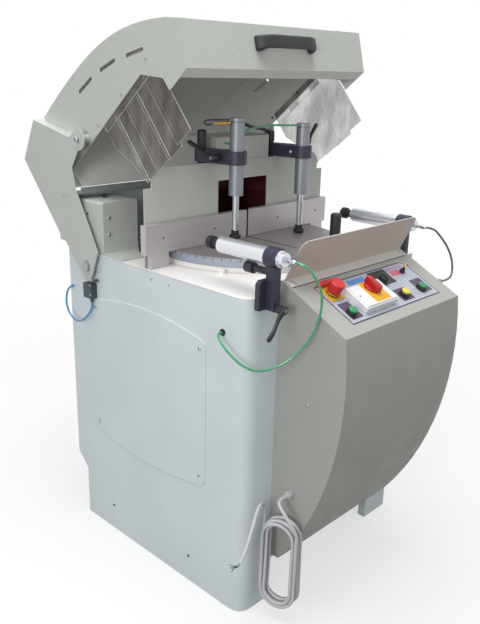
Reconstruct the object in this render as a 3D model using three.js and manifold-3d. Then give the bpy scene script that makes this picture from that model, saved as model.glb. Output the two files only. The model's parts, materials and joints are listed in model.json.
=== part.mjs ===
// Single-head cut-off saw: a pedestal cabinet with a turntable, a blade that rises through
// the table from below, a two-piece fence, four pneumatic clamps and a swing-down hood.
// Millimetres, +Z up. The operator stands on the -Y side. All places are measured from the
// cabinet's front left floor corner; the whole saw is then centred on the cabinet.
import * as THREE from 'three';
import { mergeVertices } from 'three/addons/utils/BufferGeometryUtils.js';
import Module from 'manifold-3d';

const wasm = await Module();
wasm.setup();

// Clearances and facets
const gap = 0.3;
const bore_gap = 0.4;
const overrun = 5;
const weld_distance = 0.0001;
const fine_sides = 24;
const plain_sides = 16;
const small_sides = 10;
const corner_steps = 4;
const disc_sides = 72;
const right_angle = Math.PI / 2;
const radians = Math.PI / 180;

// Cabinet
const cabinet_width = 746;
const cabinet_depth = 700;
const cabinet_height = 900;
const centre_x = cabinet_width / 2;
const sheet = 3;
const corner_radius = 45;
const pedestal_width = 113;
const pedestal_return = 60;
const rear_return = 25;
const arch_height = 145;
const arch_depth = 110;
const right_toe_setback = 35;
const grommet_radius = 9;
const grommet_height = 3;
const grommet_y = 82;
const grommet_drop = 100;
const grommet_z = cabinet_height - grommet_drop;
const top_thickness = 4;

// Access cover on the left side
const cover_front = 141;
const cover_rear_inset = 60;
const cover_rear = cabinet_depth - cover_rear_inset;
const cover_bottom = 342;
const cover_drop = 145;
const cover_top = cabinet_height - cover_drop;
const cover_crown_rise = 31;
const cover_sheet = 2.5;
const cover_corner = 18;
const cover_lap = 34;

// Rear cover and extraction spigot
const rear_cover_depth = 50;
const rear_cover_bottom = 156;
const rear_cover_sheet = 2;
const louvre_count = 6;
const louvre_length = 150;
const louvre_height = 6;
const louvre_pitch = 18;
const louvre_z = 700;
const spigot_radius = 50;
const spigot_length = 38;
const spigot_z = 330;

// Console
const console_width = cabinet_width - 2 * pedestal_width;
const console_front_radius = 940;
const console_front_height = 700;
const console_front_y = -214;
const console_lip_y = -198;
const console_lip_drop = 66.5;
const console_lip_z = cabinet_height - console_lip_drop;
const console_crest_y = -8;
const console_slope = 26.53 * radians;
const console_steps = 14;
const console_window_margin = 22;
const console_grommet_y = -143;
const console_grommet_drop = 43;
const console_grommet_z = cabinet_height - console_grommet_drop;

// Controls, placed across the console (x) and up its slope (s)
const start_button_s = 57;
const left_button_to_the_left = 164.5;
const left_button_x = centre_x - left_button_to_the_left;
const right_button_to_the_right = 154;
const right_button_x = centre_x + right_button_to_the_right;
const reset_button_to_the_right = 71;
const reset_button_x = centre_x + reset_button_to_the_right;
const bezel_radius = 15;
const bezel_height = 9;
const button_radius = 10.5;
const button_proud = 4;
const button_depth = 8;
const estop_to_the_left = 156;
const estop_x = centre_x - estop_to_the_left;
const estop_s = 131;
const estop_collar_radius = 16;
const estop_collar_height = 14;
const estop_stem_radius = 8;
const estop_head_radius = 20;
const estop_head_bottom = 20.5;
const estop_head_height = 17;
const box_left_to_the_left = 126;
const box_left = centre_x - box_left_to_the_left;
const box_right_to_the_right = 10;
const box_right = centre_x + box_right_to_the_right;
const box_low = 40;
const box_high = 121;
const box_height = 22;
const box_bevel = 4;
const switch_to_the_left = 48;
const switch_x = centre_x - switch_to_the_left;
const switch_s = 96;
const switch_disc_radius = 22;
const switch_disc_height = 7;
const switch_grip_length = 54;
const switch_grip_width = 13;
const switch_grip_height = 15;
const selector_to_the_right = 46;
const selector_x = centre_x + selector_to_the_right;
const selector_s = 118;
const selector_radius = 15;
const selector_height = 8;
const selector_grip_height = 14;
const selector_grip_width = 9;
const key_to_the_right = 156;
const key_x = centre_x + key_to_the_right;
const key_s = 130;
const key_radius = 8;
const key_height = 16;

// Deflector plate above the console
const deflector_margin = 4;
const ring_margin = 11;
const deflector_left = pedestal_width + deflector_margin;
const deflector_right = pedestal_width + console_width - ring_margin;
const deflector_sheet = 2.5;
const deflector_flange = 28;
const deflector_top_y = -60;
const deflector_top_rise = 134;
const deflector_top_z = cabinet_height + deflector_top_rise;
const deflector_corner = 28;

// Turntable
const table_shift = 2;
const table_x = centre_x - table_shift;
const table_side_room = 91;
const table_front_room = 78;
const table_rear_room = 58;
const table_radius = Math.min(cabinet_width / 2 - table_side_room,
  (cabinet_depth - table_front_room - table_rear_room) / 2);
const table_y = table_front_room + table_radius;
const table_thickness = 25;
const table_rise = 15;
const table_bottom = cabinet_height + table_rise;
const table_top = table_bottom + table_thickness;
const opening_inset = 20;
const race_width = 14;
const spigot_ring_inset = 26;
const spigot_ring_width = 10;
const table_opening = table_radius - opening_inset;
const spigot_ring_outer = table_radius - spigot_ring_inset;
const spigot_ring_inner = spigot_ring_outer - spigot_ring_width;
const spigot_ring_drop = 30;
const scale_height = 19;
const scale_depth = 3;
const slot_width = 8;
const slot_front_inset = 88;
const slot_rear_inset = 42;
const pointer_angle = 210.7 * radians;
const pointer_clearance = 9;
const pointer_radius = table_radius + pointer_clearance;
const pointer_width = 12;
const pointer_length = 12;
const pointer_height = 13;
const handle_angle = -39.5 * radians;
const handle_inset = 14;
const handle_reach = table_radius - handle_inset;
const handle_radius = 16.5;
const handle_height = 70;
const handle_round = 5;

// Fence
const fence_left_overhang = 15;
const fence_right_inset = 2;
const fence_front = table_y;
const fence_thickness = 20;
const fence_bottom_gap = 0.3;
const fence_height = 80;
const fence_top = table_top + fence_height;
const fence_half_gap = 2.7;
const fence_foot_left = 5;
const fence_foot_right = 12;
const fence_foot_clearance = 22;
const fence_foot_length = table_x - table_radius - fence_foot_clearance - fence_foot_left;
const fence_foot_inset = 2;
const fence_hole_radius = 3.5;
const fence_hole_rise = 40;
const fence_hole_z = table_top + fence_hole_rise;
const fence_outer_hole = 48;
const fence_outer_hole_inset = 52;
const fence_inner_hole_to_the_left = 134;
const fence_inner_hole_to_the_right = 135;
const fence_holes_left = [fence_outer_hole, centre_x - fence_inner_hole_to_the_left];
const fence_holes_right = [centre_x + fence_inner_hole_to_the_right, cabinet_width - fence_outer_hole_inset];

// Back plate with its window
const plate_clearance = 4;
const plate_front = fence_front + fence_thickness + plate_clearance;
const plate_sheet = 3;
const plate_inset = 2;
const plate_rise = 224;
const plate_top = table_top + plate_rise;
const plate_shoulder_rise = 172;
const plate_shoulder_z = table_top + plate_shoulder_rise;
const plate_shoulder_x = 25.3;
const plate_chamfer_x = 18;
const plate_chamfer_rise = 205;
const plate_chamfer_z = table_top + plate_chamfer_rise;
const plate_foot_clearance = 3;
const plate_foot = table_x - table_radius - plate_inset - plate_foot_clearance;
const plate_over_table = 2;
const window_left_to_the_left = 99;
const window_left = table_x - window_left_to_the_left;
const window_right_to_the_right = 107;
const window_right = table_x + window_right_to_the_right;
const window_rise = 170;
const window_top = table_top + window_rise;

// Blade guard and chip chute behind the window
const guard_left_to_the_left = 166;
const guard_left = table_x - guard_left_to_the_left;
const guard_right_to_the_right = 169;
const guard_right = table_x + guard_right_to_the_right;
const guard_rear_setback = 206;
const guard_rear = plate_front + guard_rear_setback;
const guard_rise = 120;
const guard_top = table_top + guard_rise;
const guard_over_table = 4;
const guard_sheet = 2;
const chute_left_to_the_left = 107;
const chute_left = table_x - chute_left_to_the_left;
const chute_right_to_the_right = 113;
const chute_right = table_x + chute_right_to_the_right;
const chute_rear_setback = 131;
const chute_rear = plate_front + chute_rear_setback;
const chute_rise = 290;
const chute_top = table_top + chute_rise;

// Hinge boxes at the rear corners of the top
const box_front_inset = 134;
const box_front_y = cabinet_depth - box_front_inset;
const box_rear_inset = 4;
const box_rear_y = cabinet_depth - box_rear_inset;
const box_width = 122;
const box_top_rise = 151;
const box_top_z = cabinet_height + box_top_rise;
const box_base_front_inset = 220;
const box_base_front = cabinet_depth - box_base_front_inset;
const box_base_sheet = 6;
const box_edge = 8;
const bumper_radius = 9;
const bumper_height = 22;
const bumper_x = 100;
const bumper_inset = 180;
const bumper_y = cabinet_depth - bumper_inset;
const plug_radius = 7;
const plug_height = 9;
const plug_inset = 60;
const plug_y = cabinet_depth - plug_inset;

// Rear wall behind the hinge boxes
const rear_wall_inset = 0.7;
const rear_wall_y = cabinet_depth - rear_wall_inset;
const rear_wall_rise = 166;
const rear_wall_top = cabinet_height + rear_wall_rise;
const rear_wall_flange = 14;
const rear_wall_sheet = 2.5;

// Hood, drawn closed and measured from its pivots on the cabinet's sides
const pivot_inset = 71;
const pivot_drop = 38;
const pivot_y = cabinet_depth - pivot_inset;
const pivot_z = cabinet_height - pivot_drop;
const hood_open_angle = 40 * radians;
const hood_left = 16;
const hood_right = cabinet_width - hood_left;
const hood_sheet = 2.5;
const hood_plate = 3;
const hood_lip_y = -576;
const hood_lip_z = 168;
const hood_chin_y = -658;
const hood_brow_y = -707;
const hood_brow_z = 271;
const hood_crest_y = -672;
const hood_crest_z = 304;
const hood_rear_y = -73;
const hood_rear_z = 461;
const hood_foot_y = -93;
const hood_foot_z = 206;
const hood_swell_front_y = -506;
const hood_swell_front_z = 435;
const hood_swell_rear_y = -373;
const hood_cheek_y = -575;
const hood_cheek_z = 205;
const hood_edge_y = -513;
const hood_edge_z = 266;
const hood_steps = 14;
const hood_slots = [[-304.5, 396, 78, 7], [-419, 370, 76, 18], [-529, 320, 72, 26.6]];
const hood_slot_height = 11;

// Hood arms
const arm_inner_x = -15;
const arm_plate = 3;
const arm_outline = [[-68, 460], [59, 409], [53, 142], [64, 128], [44, 109], [35, -28], [15, -42.5],
  [-75, 1], [-108, 190], [-135, 245]];
const arm_lobe_y = -216.5;
const arm_lobe_z = 284;
const arm_lobe_radius = 30;
const arm_flange_end_y = -185;
const arm_flange_end_z = 315;
const arm_bolt_radius = 8;
const arm_spacer_radius = 13;
const arm_bolt_head = 5;
const pivot_radius = 12;
const pivot_boss_radius = 22;
const pivot_nut_radius = 17;
const pivot_nut_height = 8;

// Hood handle
const hood_handle_length = 236;
const hood_handle_reach = 36;
const hood_handle_thickness = 15;
const hood_handle_height = 28;
const hood_handle_taper = 16;
const hood_handle_z = 235;
const hood_handle_radius = 24;

// Curtain of clear strips inside each hood cheek
const strip_count = 5;
const strip_front = -574;
const strip_pitch = 53;
const strip_lap = 11;
const strip_sheet = 1.5;
const strip_top = 260;
const strip_bottoms = [56, 46, 48, 50, 50];
const strip_trim = [[-351, 50], [-330, 130], [-298, 192]];
const rail_bottom = 246;
const rail_top = 284;
const rail_sheet = 3;

// Vertical clamps
const post_setback = 21;
const post_y = plate_front + post_setback;
const post_radius = 12.5;
const post_block_width = 36;
const post_block_rise = 126;
const post_block_bottom = table_top + post_block_rise;
const post_block_top_rise = 210;
const post_block_top = table_top + post_block_top_rise;
const post_block_rear_setback = 41;
const post_block_rear = plate_front + post_block_rear_setback;
const left_post_to_the_left = 145;
const left_post_x = table_x - left_post_to_the_left;
const right_post_to_the_right = 143;
const right_post_x = table_x + right_post_to_the_right;
const left_barrel_to_the_left = 119;
const left_barrel_x = table_x - left_barrel_to_the_left;
const right_barrel_to_the_right = 160;
const right_barrel_x = table_x + right_barrel_to_the_right;
const barrel_inset = 66;
const barrel_y = table_y - barrel_inset;
const clamp_arm_rise = 227;
const clamp_arm_bottom = table_top + clamp_arm_rise;
const clamp_arm_height = 36;
const clamp_arm_rear_radius = 20;
const clamp_arm_front_radius = 28;
const clamp_arm_slit = 2;
const barrel_radius = 20;
const barrel_length = 196;
const left_barrel_drop = 84;
const left_barrel_bottom = clamp_arm_bottom - left_barrel_drop;
const right_barrel_drop = 107;
const right_barrel_bottom = clamp_arm_bottom - right_barrel_drop;
const cap_height = 11;
const cap_radius = 18.5;
const cap_groove = 2;
const groove_inset = 1;
const rod_radius = 9;
const rod_bore_depth = 172;
const rod_hidden = 60;
const left_pad_rise = 22;
const left_pad_z = table_top + left_pad_rise;
const right_pad_rise = 2;
const right_pad_z = table_top + right_pad_rise;
const pad_radius = 16.5;
const pad_height = 10;
const pad_neck_radius = 11;
const pad_neck_height = 14;
const knob_radius = 13;
const knob_height = 50;
const fitting_radius = 5;
const fitting_length = 12;

// Levers
const lever_hub_radius = 11;
const lever_hub_length = 30;
const lever_root_radius = 6;
const lever_tip_radius = 4.5;
const top_lever_left_inset = 32;
const top_lever_left_y = table_y - top_lever_left_inset;
const from_table = ([x, y, z]) => [table_x + x, table_y + y, table_top + z];
const top_lever_left_tip = from_table([-191, 48, 282]);
const top_lever_right_hub_height = 36;
const top_lever_right_tip = from_table([21, 38, 322]);
const lever_end_share = 0.04;
const lever_seat = 2.4;
const side_lever_tip_x = 64;
const side_lever_tip_y = -4;
const side_lever_tip_z = -56;

// Side clamps on the cabinet's front
const left_side_inset = 56;
const left_side_x = pedestal_width - left_side_inset;
const right_side_x = pedestal_width + console_width + 16;
const side_axis_rise = 60;
const side_axis_z = table_top + side_axis_rise;
const side_barrel_radius = 20.5;
const side_barrel_length = 200;
const left_side_front = 150;
const right_side_front = 175;
const side_ring_radius = 25;
const side_ring_length = 35;
const left_ring_rear = -10;
const right_ring_rear = 15;
const left_bar_width = 22;
const right_bar_width = 14;
const left_bar_shift = -1;
const left_bar_front = -40;
const right_bar_front = -22;
const right_bar_shift = -4;
const side_bar_drop = 121;
const side_bar_bottom = side_axis_z - side_bar_drop;
const left_block_width = 45;
const side_block_depth = 13.7;
const side_block_rise = 66;
const side_block_top = side_bar_bottom + side_block_rise;
const side_block_foot = 7;
const side_block_edge = 8;
const side_cap_length = 12;
const side_cap_radius = 17.5;
const side_fitting_length = 24;
const side_fitting_radius = 6;
const side_rod_hidden = 40;
const side_bore_depth = 190;
const side_pad_gap = 10;
const side_pad_neck = 16;
const side_pad_flange = 20;
const knurl_radius = 14;
const knurl_length = 25;
const knurl_shaft_radius = 9;
const knurl_front = 36;
const knurl_drop = 37.5;
const knurl_z = side_axis_z - knurl_drop;

// Saw unit under the table
const arm_length = 200;
const arbor_rest_drop = 85;
const saw_pivot_inset = 83;
const saw_pivot_y = table_y + table_radius - saw_pivot_inset;
const saw_pivot_drop = 130;
const saw_pivot_z = table_bottom - saw_pivot_drop;
const blade_radius = 210;
const blade_thickness = 3;
const blade_teeth = 48;
const tooth_depth = 9;
const tooth_lean_share = 0.35;
const gullet_share = 0.8;
const blade_flange_radius = 34;
const blade_flange_thickness = 5;
const arbor_radius = 12;
const saw_arm_left_to_the_right = 21;
const saw_arm_left = table_x + saw_arm_left_to_the_right;
const saw_arm_right_setback = 40;
const saw_arm_right = saw_arm_left + saw_arm_right_setback;
const saw_arm_pivot_radius = 40;
const saw_arm_arbor_radius = 33;
const saw_arm_rib = 10;
const hanger_left_setback = 4;
const hanger_left = saw_arm_right + hanger_left_setback;
const hanger_right_setback = 18;
const hanger_right = hanger_left + hanger_right_setback;
const hanger_front_offset = 79;
const hanger_front = saw_pivot_y - hanger_front_offset;
const hanger_rear_offset = 3;
const hanger_rear = saw_pivot_y - hanger_rear_offset;
const hanger_radius = 34;
const motor_radius = 64;
const motor_length = 146;
const motor_fins = 24;
const motor_fin_depth = 4;
const shaft_radius = 12;

// Limit valve under the left arm
const valve_front_inset = 21;
const valve_front = pivot_y - valve_front_inset;
const valve_rear_setback = 38;
const valve_rear = valve_front + valve_rear_setback;
const valve_drop = 97;
const valve_bottom = pivot_z - valve_drop;
const valve_top_drop = 52;
const valve_top = pivot_z - valve_top_drop;
const valve_thickness = 22;
const roller_radius = 5;
const roller_inset = 10;
const roller_y = valve_front - roller_inset;
const roller_rise = 12;
const roller_z = valve_top + roller_rise;

// Cables and hoses
const gland_y = -64;
const gland_z = 361;
const gland_radius = 13;
const gland_length = 24;
const cable_diameter = 9;
const hose_diameter = 6;
const hank_y = -72;
const hank_x = 72;
const hank_z = 174;
const hank_half_width = 51;
const hank_half_height = 131;
const hank_turn = 15 * radians;
const hank_pitch = 9.9;
const hank_layers = 4;
const hank_turns_per_layer = 1.5;
const hank_turns = 6.5;
const hank_fold_steps = 9;
const hank_run_steps = 3;
const hank_sides = 6;
const hank_climb_share = 0.1;
const cable_sides = 6;
const hose_sides = 6;

// Materials
const paint = (color, roughness = 0.5) => new THREE.MeshStandardMaterial({ color, roughness, metalness: 0 });
const metal = (color, roughness = 0.35) => new THREE.MeshStandardMaterial({ color, roughness, metalness: 0.9 });
const cabinet_paint = () => paint('#dfe5e8');
const grey_paint = () => paint('#b4b8b1', 0.6);
const console_paint = () => paint('#b3b4ac', 0.55);
const black_plastic = () => paint('#1c1b1e', 0.5);
const dark_anodised = () => metal('#343743', 0.45);
const aluminium = () => metal('#b9bcc4', 0.3);
const steel = () => metal('#8d8a86', 0.35);

// Solids from geometries
function solid_of(geometry) {
  const bare = new THREE.BufferGeometry();
  bare.setAttribute('position', geometry.getAttribute('position').clone());
  if (geometry.index) bare.setIndex(geometry.index.clone());
  const merged = mergeVertices(bare, weld_distance);
  const corners = Array.from(merged.index.array);
  const faces = [];
  for (let i = 0; i < corners.length; i += 3) {
    const [a, b, c] = corners.slice(i, i + 3);
    if (a !== b && b !== c && a !== c) faces.push(a, b, c);
  }
  return new wasm.Manifold(new wasm.Mesh({
    numProp: 3,
    vertProperties: new Float32Array(merged.getAttribute('position').array),
    triVerts: new Uint32Array(faces),
  }));
}

function geometry_of(solid) {
  const mesh = solid.getMesh();
  const geometry = new THREE.BufferGeometry();
  geometry.setAttribute('position', new THREE.BufferAttribute(new Float32Array(mesh.vertProperties), 3));
  geometry.setIndex(new THREE.BufferAttribute(new Uint32Array(mesh.triVerts), 1));
  geometry.computeVertexNormals();
  return geometry;
}

const together = (...solids) => solids.reduce((sum, solid) => sum.add(solid));

function box(x0, x1, y0, y1, z0, z1) {
  const geometry = new THREE.BoxGeometry(Math.abs(x1 - x0), Math.abs(y1 - y0), Math.abs(z1 - z0));
  geometry.translate((x0 + x1) / 2, (y0 + y1) / 2, (z0 + z1) / 2);
  return solid_of(geometry);
}

// A round bar, or a cone, between two points
function bar(from, to, radius, end_radius = radius, sides = plain_sides) {
  const start = new THREE.Vector3(...from);
  const way = new THREE.Vector3(...to).sub(start);
  const geometry = new THREE.CylinderGeometry(end_radius, radius, way.length(), sides);
  geometry.translate(0, way.length() / 2, 0);
  geometry.applyQuaternion(new THREE.Quaternion().setFromUnitVectors(
    new THREE.Vector3(0, 1, 0), way.clone().normalize()));
  geometry.translate(...start);
  return solid_of(geometry);
}

// A turned piece: profile of [radius, height] from its axis and back, standing at a point
function turned(profile, at, direction = [0, 0, 1], sides = fine_sides) {
  const geometry = new THREE.LatheGeometry(profile.map(([r, h]) => new THREE.Vector2(r, h)), sides);
  geometry.applyQuaternion(new THREE.Quaternion().setFromUnitVectors(
    new THREE.Vector3(0, 1, 0), new THREE.Vector3(...direction)));
  geometry.translate(...at);
  return solid_of(geometry);
}

// Outlines extruded along one axis: [y, z] along X, [x, z] along Y, [x, y] along Z
function extruded(points, depth, across, up, along, from) {
  const shape = new THREE.Shape(points.map(([u, v]) => new THREE.Vector2(u, v)));
  const geometry = new THREE.ExtrudeGeometry(shape, { depth, steps: 1, bevelEnabled: false });
  geometry.applyMatrix4(new THREE.Matrix4().makeBasis(across, up, along));
  geometry.translate(...from);
  return solid_of(geometry);
}
const unit_x = new THREE.Vector3(1, 0, 0);
const unit_y = new THREE.Vector3(0, 1, 0);
const unit_z = new THREE.Vector3(0, 0, 1);
function along_x(points, x0, x1) {
  return extruded(points, Math.abs(x1 - x0), unit_y, unit_z, unit_x, [Math.min(x0, x1), 0, 0]);
}
function along_y(points, y0, y1) {
  return extruded(points, Math.abs(y1 - y0), unit_x, unit_z, unit_y.clone().negate(), [0, Math.max(y0, y1), 0]);
}
function along_z(points, z0, z1) {
  return extruded(points, Math.abs(z1 - z0), unit_x, unit_y, unit_z, [0, 0, Math.min(z0, z1)]);
}

// A circle as points in its plane
function circle(u, v, radius, sides = fine_sides, start = 0, sweep = 2 * Math.PI) {
  const whole = Math.abs(sweep) >= 2 * Math.PI;
  const count = whole ? sides : sides + 1;
  return Array.from({ length: count }, (unused, i) => {
    const angle = start + sweep * i / sides;
    return [u + radius * Math.cos(angle), v + radius * Math.sin(angle)];
  });
}

// Rounds the corners of a path; radii is one value or one for each corner
function rounded(points, radii, closed = true, steps = corner_steps) {
  const result = [];
  points.forEach((point, i) => {
    const radius = Array.isArray(radii) ? radii[i] : radii;
    const end = !closed && (i === 0 || i === points.length - 1);
    if (end || !radius) {
      result.push(point);
      return;
    }
    const here = new THREE.Vector2(...point);
    const before = new THREE.Vector2(...points[(i + points.length - 1) % points.length]).sub(here);
    const after = new THREE.Vector2(...points[(i + 1) % points.length]).sub(here);
    const half = Math.acos(before.clone().normalize().dot(after.clone().normalize())) / 2;
    const reach = Math.min(radius / Math.tan(half), before.length() / 2, after.length() / 2);
    const start = here.clone().add(before.normalize().multiplyScalar(reach));
    const end_point = here.clone().add(after.normalize().multiplyScalar(reach));
    const curve = new THREE.QuadraticBezierCurve(start, here, end_point);
    curve.getPoints(steps).forEach((p) => result.push([p.x, p.y]));
  });
  return result;
}

// A bent sheet: the path is its outer face, and its wall lies to the right of the way
function bent_sheet(path, thickness) {
  const inner = path.map((point, i) => {
    const here = new THREE.Vector2(...point);
    const before = i > 0 ? here.clone().sub(new THREE.Vector2(...path[i - 1])).normalize() : null;
    const after = i < path.length - 1 ? new THREE.Vector2(...path[i + 1]).sub(here).normalize() : null;
    const first = before ?? after;
    const second = after ?? before;
    const normal_a = new THREE.Vector2(first.y, -first.x);
    const normal_b = new THREE.Vector2(second.y, -second.x);
    const mitre = normal_a.clone().add(normal_b).normalize();
    const reach = thickness / mitre.dot(normal_a);
    return [here.x + mitre.x * reach, here.y + mitre.y * reach];
  });
  return [...path, ...inner.reverse()];
}

// Two circles and their common tangents, such as a clamp arm seen from above
function link_outline(u0, v0, r0, u1, v1, r1, sides = plain_sides) {
  const heading = Math.atan2(v1 - v0, u1 - u0);
  const lean = Math.acos((r0 - r1) / Math.hypot(u1 - u0, v1 - v0));
  return [
    ...circle(u1, v1, r1, sides, heading - lean, 2 * lean),
    ...circle(u0, v0, r0, sides, heading + lean, 2 * (Math.PI - lean)),
  ];
}

// A cord along chosen points
function cord(points, diameter, sides, steps) {
  const path = new THREE.CatmullRomCurve3(points.map((p) => new THREE.Vector3(...p)), false, 'centripetal');
  const section = new THREE.Shape(circle(0, 0, diameter / 2, sides).map(([u, v]) => new THREE.Vector2(u, v)));
  return solid_of(new THREE.ExtrudeGeometry(section, { steps, bevelEnabled: false, extrudePath: path }));
}

// Scene graph
const saw = new THREE.Group();
saw.position.set(-cabinet_width / 2, -cabinet_depth / 2, 0);
const console_face = new THREE.Group();
console_face.position.set(0, console_lip_y, console_lip_z);
console_face.rotation.x = console_slope;
const hood = new THREE.Group();
hood.position.set(0, pivot_y, pivot_z);
hood.rotation.x = -hood_open_angle;
saw.add(console_face, hood);

function add(group, name, solid, material) {
  const mesh = new THREE.Mesh(geometry_of(solid), material);
  mesh.name = name;
  group.add(mesh);
}

// Right-hand pieces are the left-hand ones seen in a mirror across the cabinet
const across = (x, right) => (right ? cabinet_width - x : x);
const top_z = cabinet_height;
const underside_z = top_z - top_thickness - gap;
const console_left = pedestal_width;
const console_right = pedestal_width + console_width;

// Base frame: floor, arch over the toe space and the front wall behind the console
function base_frame() {
  const floor = box(sheet + gap, cabinet_width - sheet - gap, arch_depth, cabinet_depth - sheet - gap, 0, sheet);
  const path = [[0, underside_z], [0, arch_height], [arch_depth, arch_height], [arch_depth, 0]];
  const wall = bent_sheet(path.reverse(), sheet);
  return floor.add(along_x(wall, console_left + gap, console_right - gap));
}
add(saw, 'base_frame', base_frame(), cabinet_paint());

// Side panels, each one bent sheet with a rounded front corner and the hood's pivot stud
function pivot_stud(right) {
  const at = (x) => [across(x, right), pivot_y, pivot_z];
  const plate_outside = arm_inner_x - arm_plate;
  const boss_end = arm_inner_x + gap;
  const nut_start = plate_outside - gap;
  return together(
    bar(at(sheet / 2), at(boss_end), pivot_boss_radius, pivot_boss_radius, fine_sides),
    bar(at(0), at(nut_start), pivot_radius, pivot_radius, fine_sides),
    bar(at(nut_start), at(nut_start - pivot_nut_height), pivot_nut_radius, pivot_nut_radius, small_sides),
  );
}

function side_panel(right) {
  const path = [[pedestal_width, pedestal_return], [pedestal_width, 0], [0, 0], [0, cabinet_depth],
    [rear_return, cabinet_depth]];
  const plan = bent_sheet(rounded(path, [0, sheet, corner_radius, sheet, 0], false), sheet);
  const plan_here = plan.map(([x, y]) => [across(x, right), y]);
  return along_z(plan_here, 0, underside_z).add(pivot_stud(right));
}

function left_side_panel() {
  const opening = box(-overrun, sheet + overrun, cover_front + cover_lap, cover_rear - cover_lap,
    cover_bottom + cover_lap, cover_top - cover_lap);
  const grommet = bar([sheet / 2, grommet_y, grommet_z], [-grommet_height, grommet_y, grommet_z],
    grommet_radius, grommet_radius, small_sides);
  return side_panel(false).subtract(opening).add(grommet);
}
add(saw, 'left_side_panel', left_side_panel(), cabinet_paint());

function right_side_panel() {
  const inner = across(pedestal_width, true);
  const toe_space = box(inner - overrun, cabinet_width + overrun, -overrun, right_toe_setback, -overrun, arch_height);
  const toe_plate = bent_sheet([[right_toe_setback, 0], [right_toe_setback, arch_height], [0, arch_height]], sheet);
  const toe_side = sheet / 2;
  return side_panel(true).subtract(toe_space)
    .add(along_x(toe_plate, inner + toe_side, cabinet_width - toe_side)
      .subtract(box(inner, cabinet_width, -overrun, 0, 0, top_z))
      .intersect(along_z(corner_plan(), 0, top_z)));
}

// The cabinet's plan: front corners round, rear corners sharp
function corner_plan() {
  const corners = [[0, 0], [cabinet_width, 0], [cabinet_width, cabinet_depth], [0, cabinet_depth]];
  return rounded(corners, [corner_radius, corner_radius, 0, 0]);
}
add(saw, 'right_side_panel', right_side_panel(), cabinet_paint());

// Top plate with the turntable's race and the fixed angle pointer
function top_plate() {
  const plate = along_z(corner_plan(), top_z - top_thickness, top_z);
  const race = turned([[0, 0], [table_opening + race_width, 0],
    [table_opening + race_width, table_bottom - gap - top_z + top_thickness],
    [0, table_bottom - gap - top_z + top_thickness]], [table_x, table_y, top_z - top_thickness], [0, 0, 1], disc_sides);
  const opening = bar([table_x, table_y, top_z - overrun - top_thickness], [table_x, table_y, table_top],
    table_opening, table_opening, disc_sides);
  const at = [table_x + pointer_radius * Math.cos(pointer_angle), table_y + pointer_radius * Math.sin(pointer_angle)];
  const pointer = box(at[0] - pointer_length, at[0], at[1] - pointer_width, at[1],
    top_z - top_thickness / 2, top_z + pointer_height);
  return plate.add(race).subtract(opening).add(pointer);
}
add(saw, 'top_plate', top_plate(), cabinet_paint());

// Access cover: a plate with a crowned top and bottom
function access_cover() {
  const middle = (cover_front + cover_rear) / 2;
  const crown_top = cover_top + 2 * cover_crown_rise;
  const crown_bottom = cover_bottom - 2 * cover_crown_rise;
  const top_arc = new THREE.QuadraticBezierCurve(new THREE.Vector2(cover_rear, cover_top),
    new THREE.Vector2(middle, crown_top), new THREE.Vector2(cover_front, cover_top)).getPoints(hood_steps);
  const bottom_arc = new THREE.QuadraticBezierCurve(new THREE.Vector2(cover_front, cover_bottom),
    new THREE.Vector2(middle, crown_bottom), new THREE.Vector2(cover_rear, cover_bottom)).getPoints(hood_steps);
  const outline = [...top_arc, ...bottom_arc].map((p) => [p.x, p.y]);
  const last = outline.length - 1;
  const radii = outline.map((unused, i) => (
    [0, hood_steps, hood_steps + 1, last].includes(i) ? cover_corner : 0));
  return along_x(rounded(outline, radii), -cover_sheet - gap, -gap);
}
add(saw, 'access_cover', access_cover(), cabinet_paint());

// Rear cover: an open tray with louvres and the chip extraction spigot
function rear_cover() {
  const near = cabinet_depth + gap;
  const far = cabinet_depth + rear_cover_depth;
  const outer = [[near, underside_z], [far, underside_z], [far, rear_cover_bottom + rear_cover_depth],
    [near, rear_cover_bottom]];
  const inner = bent_sheet([[near - overrun, underside_z], [far, underside_z],
    [far, rear_cover_bottom + rear_cover_depth], [near - overrun, rear_cover_bottom - overrun]], rear_cover_sheet)
    .slice(4);
  const shell = along_x(outer, sheet, cabinet_width - sheet)
    .subtract(along_x(inner, sheet + rear_cover_sheet, cabinet_width - sheet - rear_cover_sheet));
  const spigot = (radius, from, to) => bar([cabinet_width / 2, from, spigot_z], [cabinet_width / 2, to, spigot_z],
    radius, radius, fine_sides);
  let cover = shell.add(spigot(spigot_radius, far - rear_cover_sheet, far + spigot_length))
    .subtract(spigot(spigot_radius - rear_cover_sheet, far - overrun, far + spigot_length + overrun));
  for (let i = 0; i < louvre_count; i += 1) {
    const z = louvre_z + i * louvre_pitch;
    const middle = cabinet_width / 2;
    cover = cover.subtract(box(middle - louvre_length, middle + louvre_length, far - overrun, far + overrun,
      z, z + louvre_height));
  }
  return cover;
}
add(saw, 'rear_cover', rear_cover(), cabinet_paint());

// Console: curved front, sloping control face, open towards the cabinet
const console_run = (console_crest_y - console_lip_y) / Math.cos(console_slope);
const console_crest_z = console_lip_z + console_run * Math.sin(console_slope);

function console_profile() {
  const centre_y = console_front_y + console_front_radius;
  const curve_top = console_lip_z - sheet;
  const curve = Array.from({ length: console_steps + 1 }, (unused, i) => {
    const z = arch_height + (curve_top - arch_height) * i / console_steps;
    const y = centre_y - Math.sqrt(console_front_radius ** 2 - (z - console_front_height) ** 2);
    return [y, z];
  });
  return [[-gap, arch_height], ...curve, [console_lip_y, console_lip_z], [console_crest_y, console_crest_z],
    [-gap, console_crest_z]];
}

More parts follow.
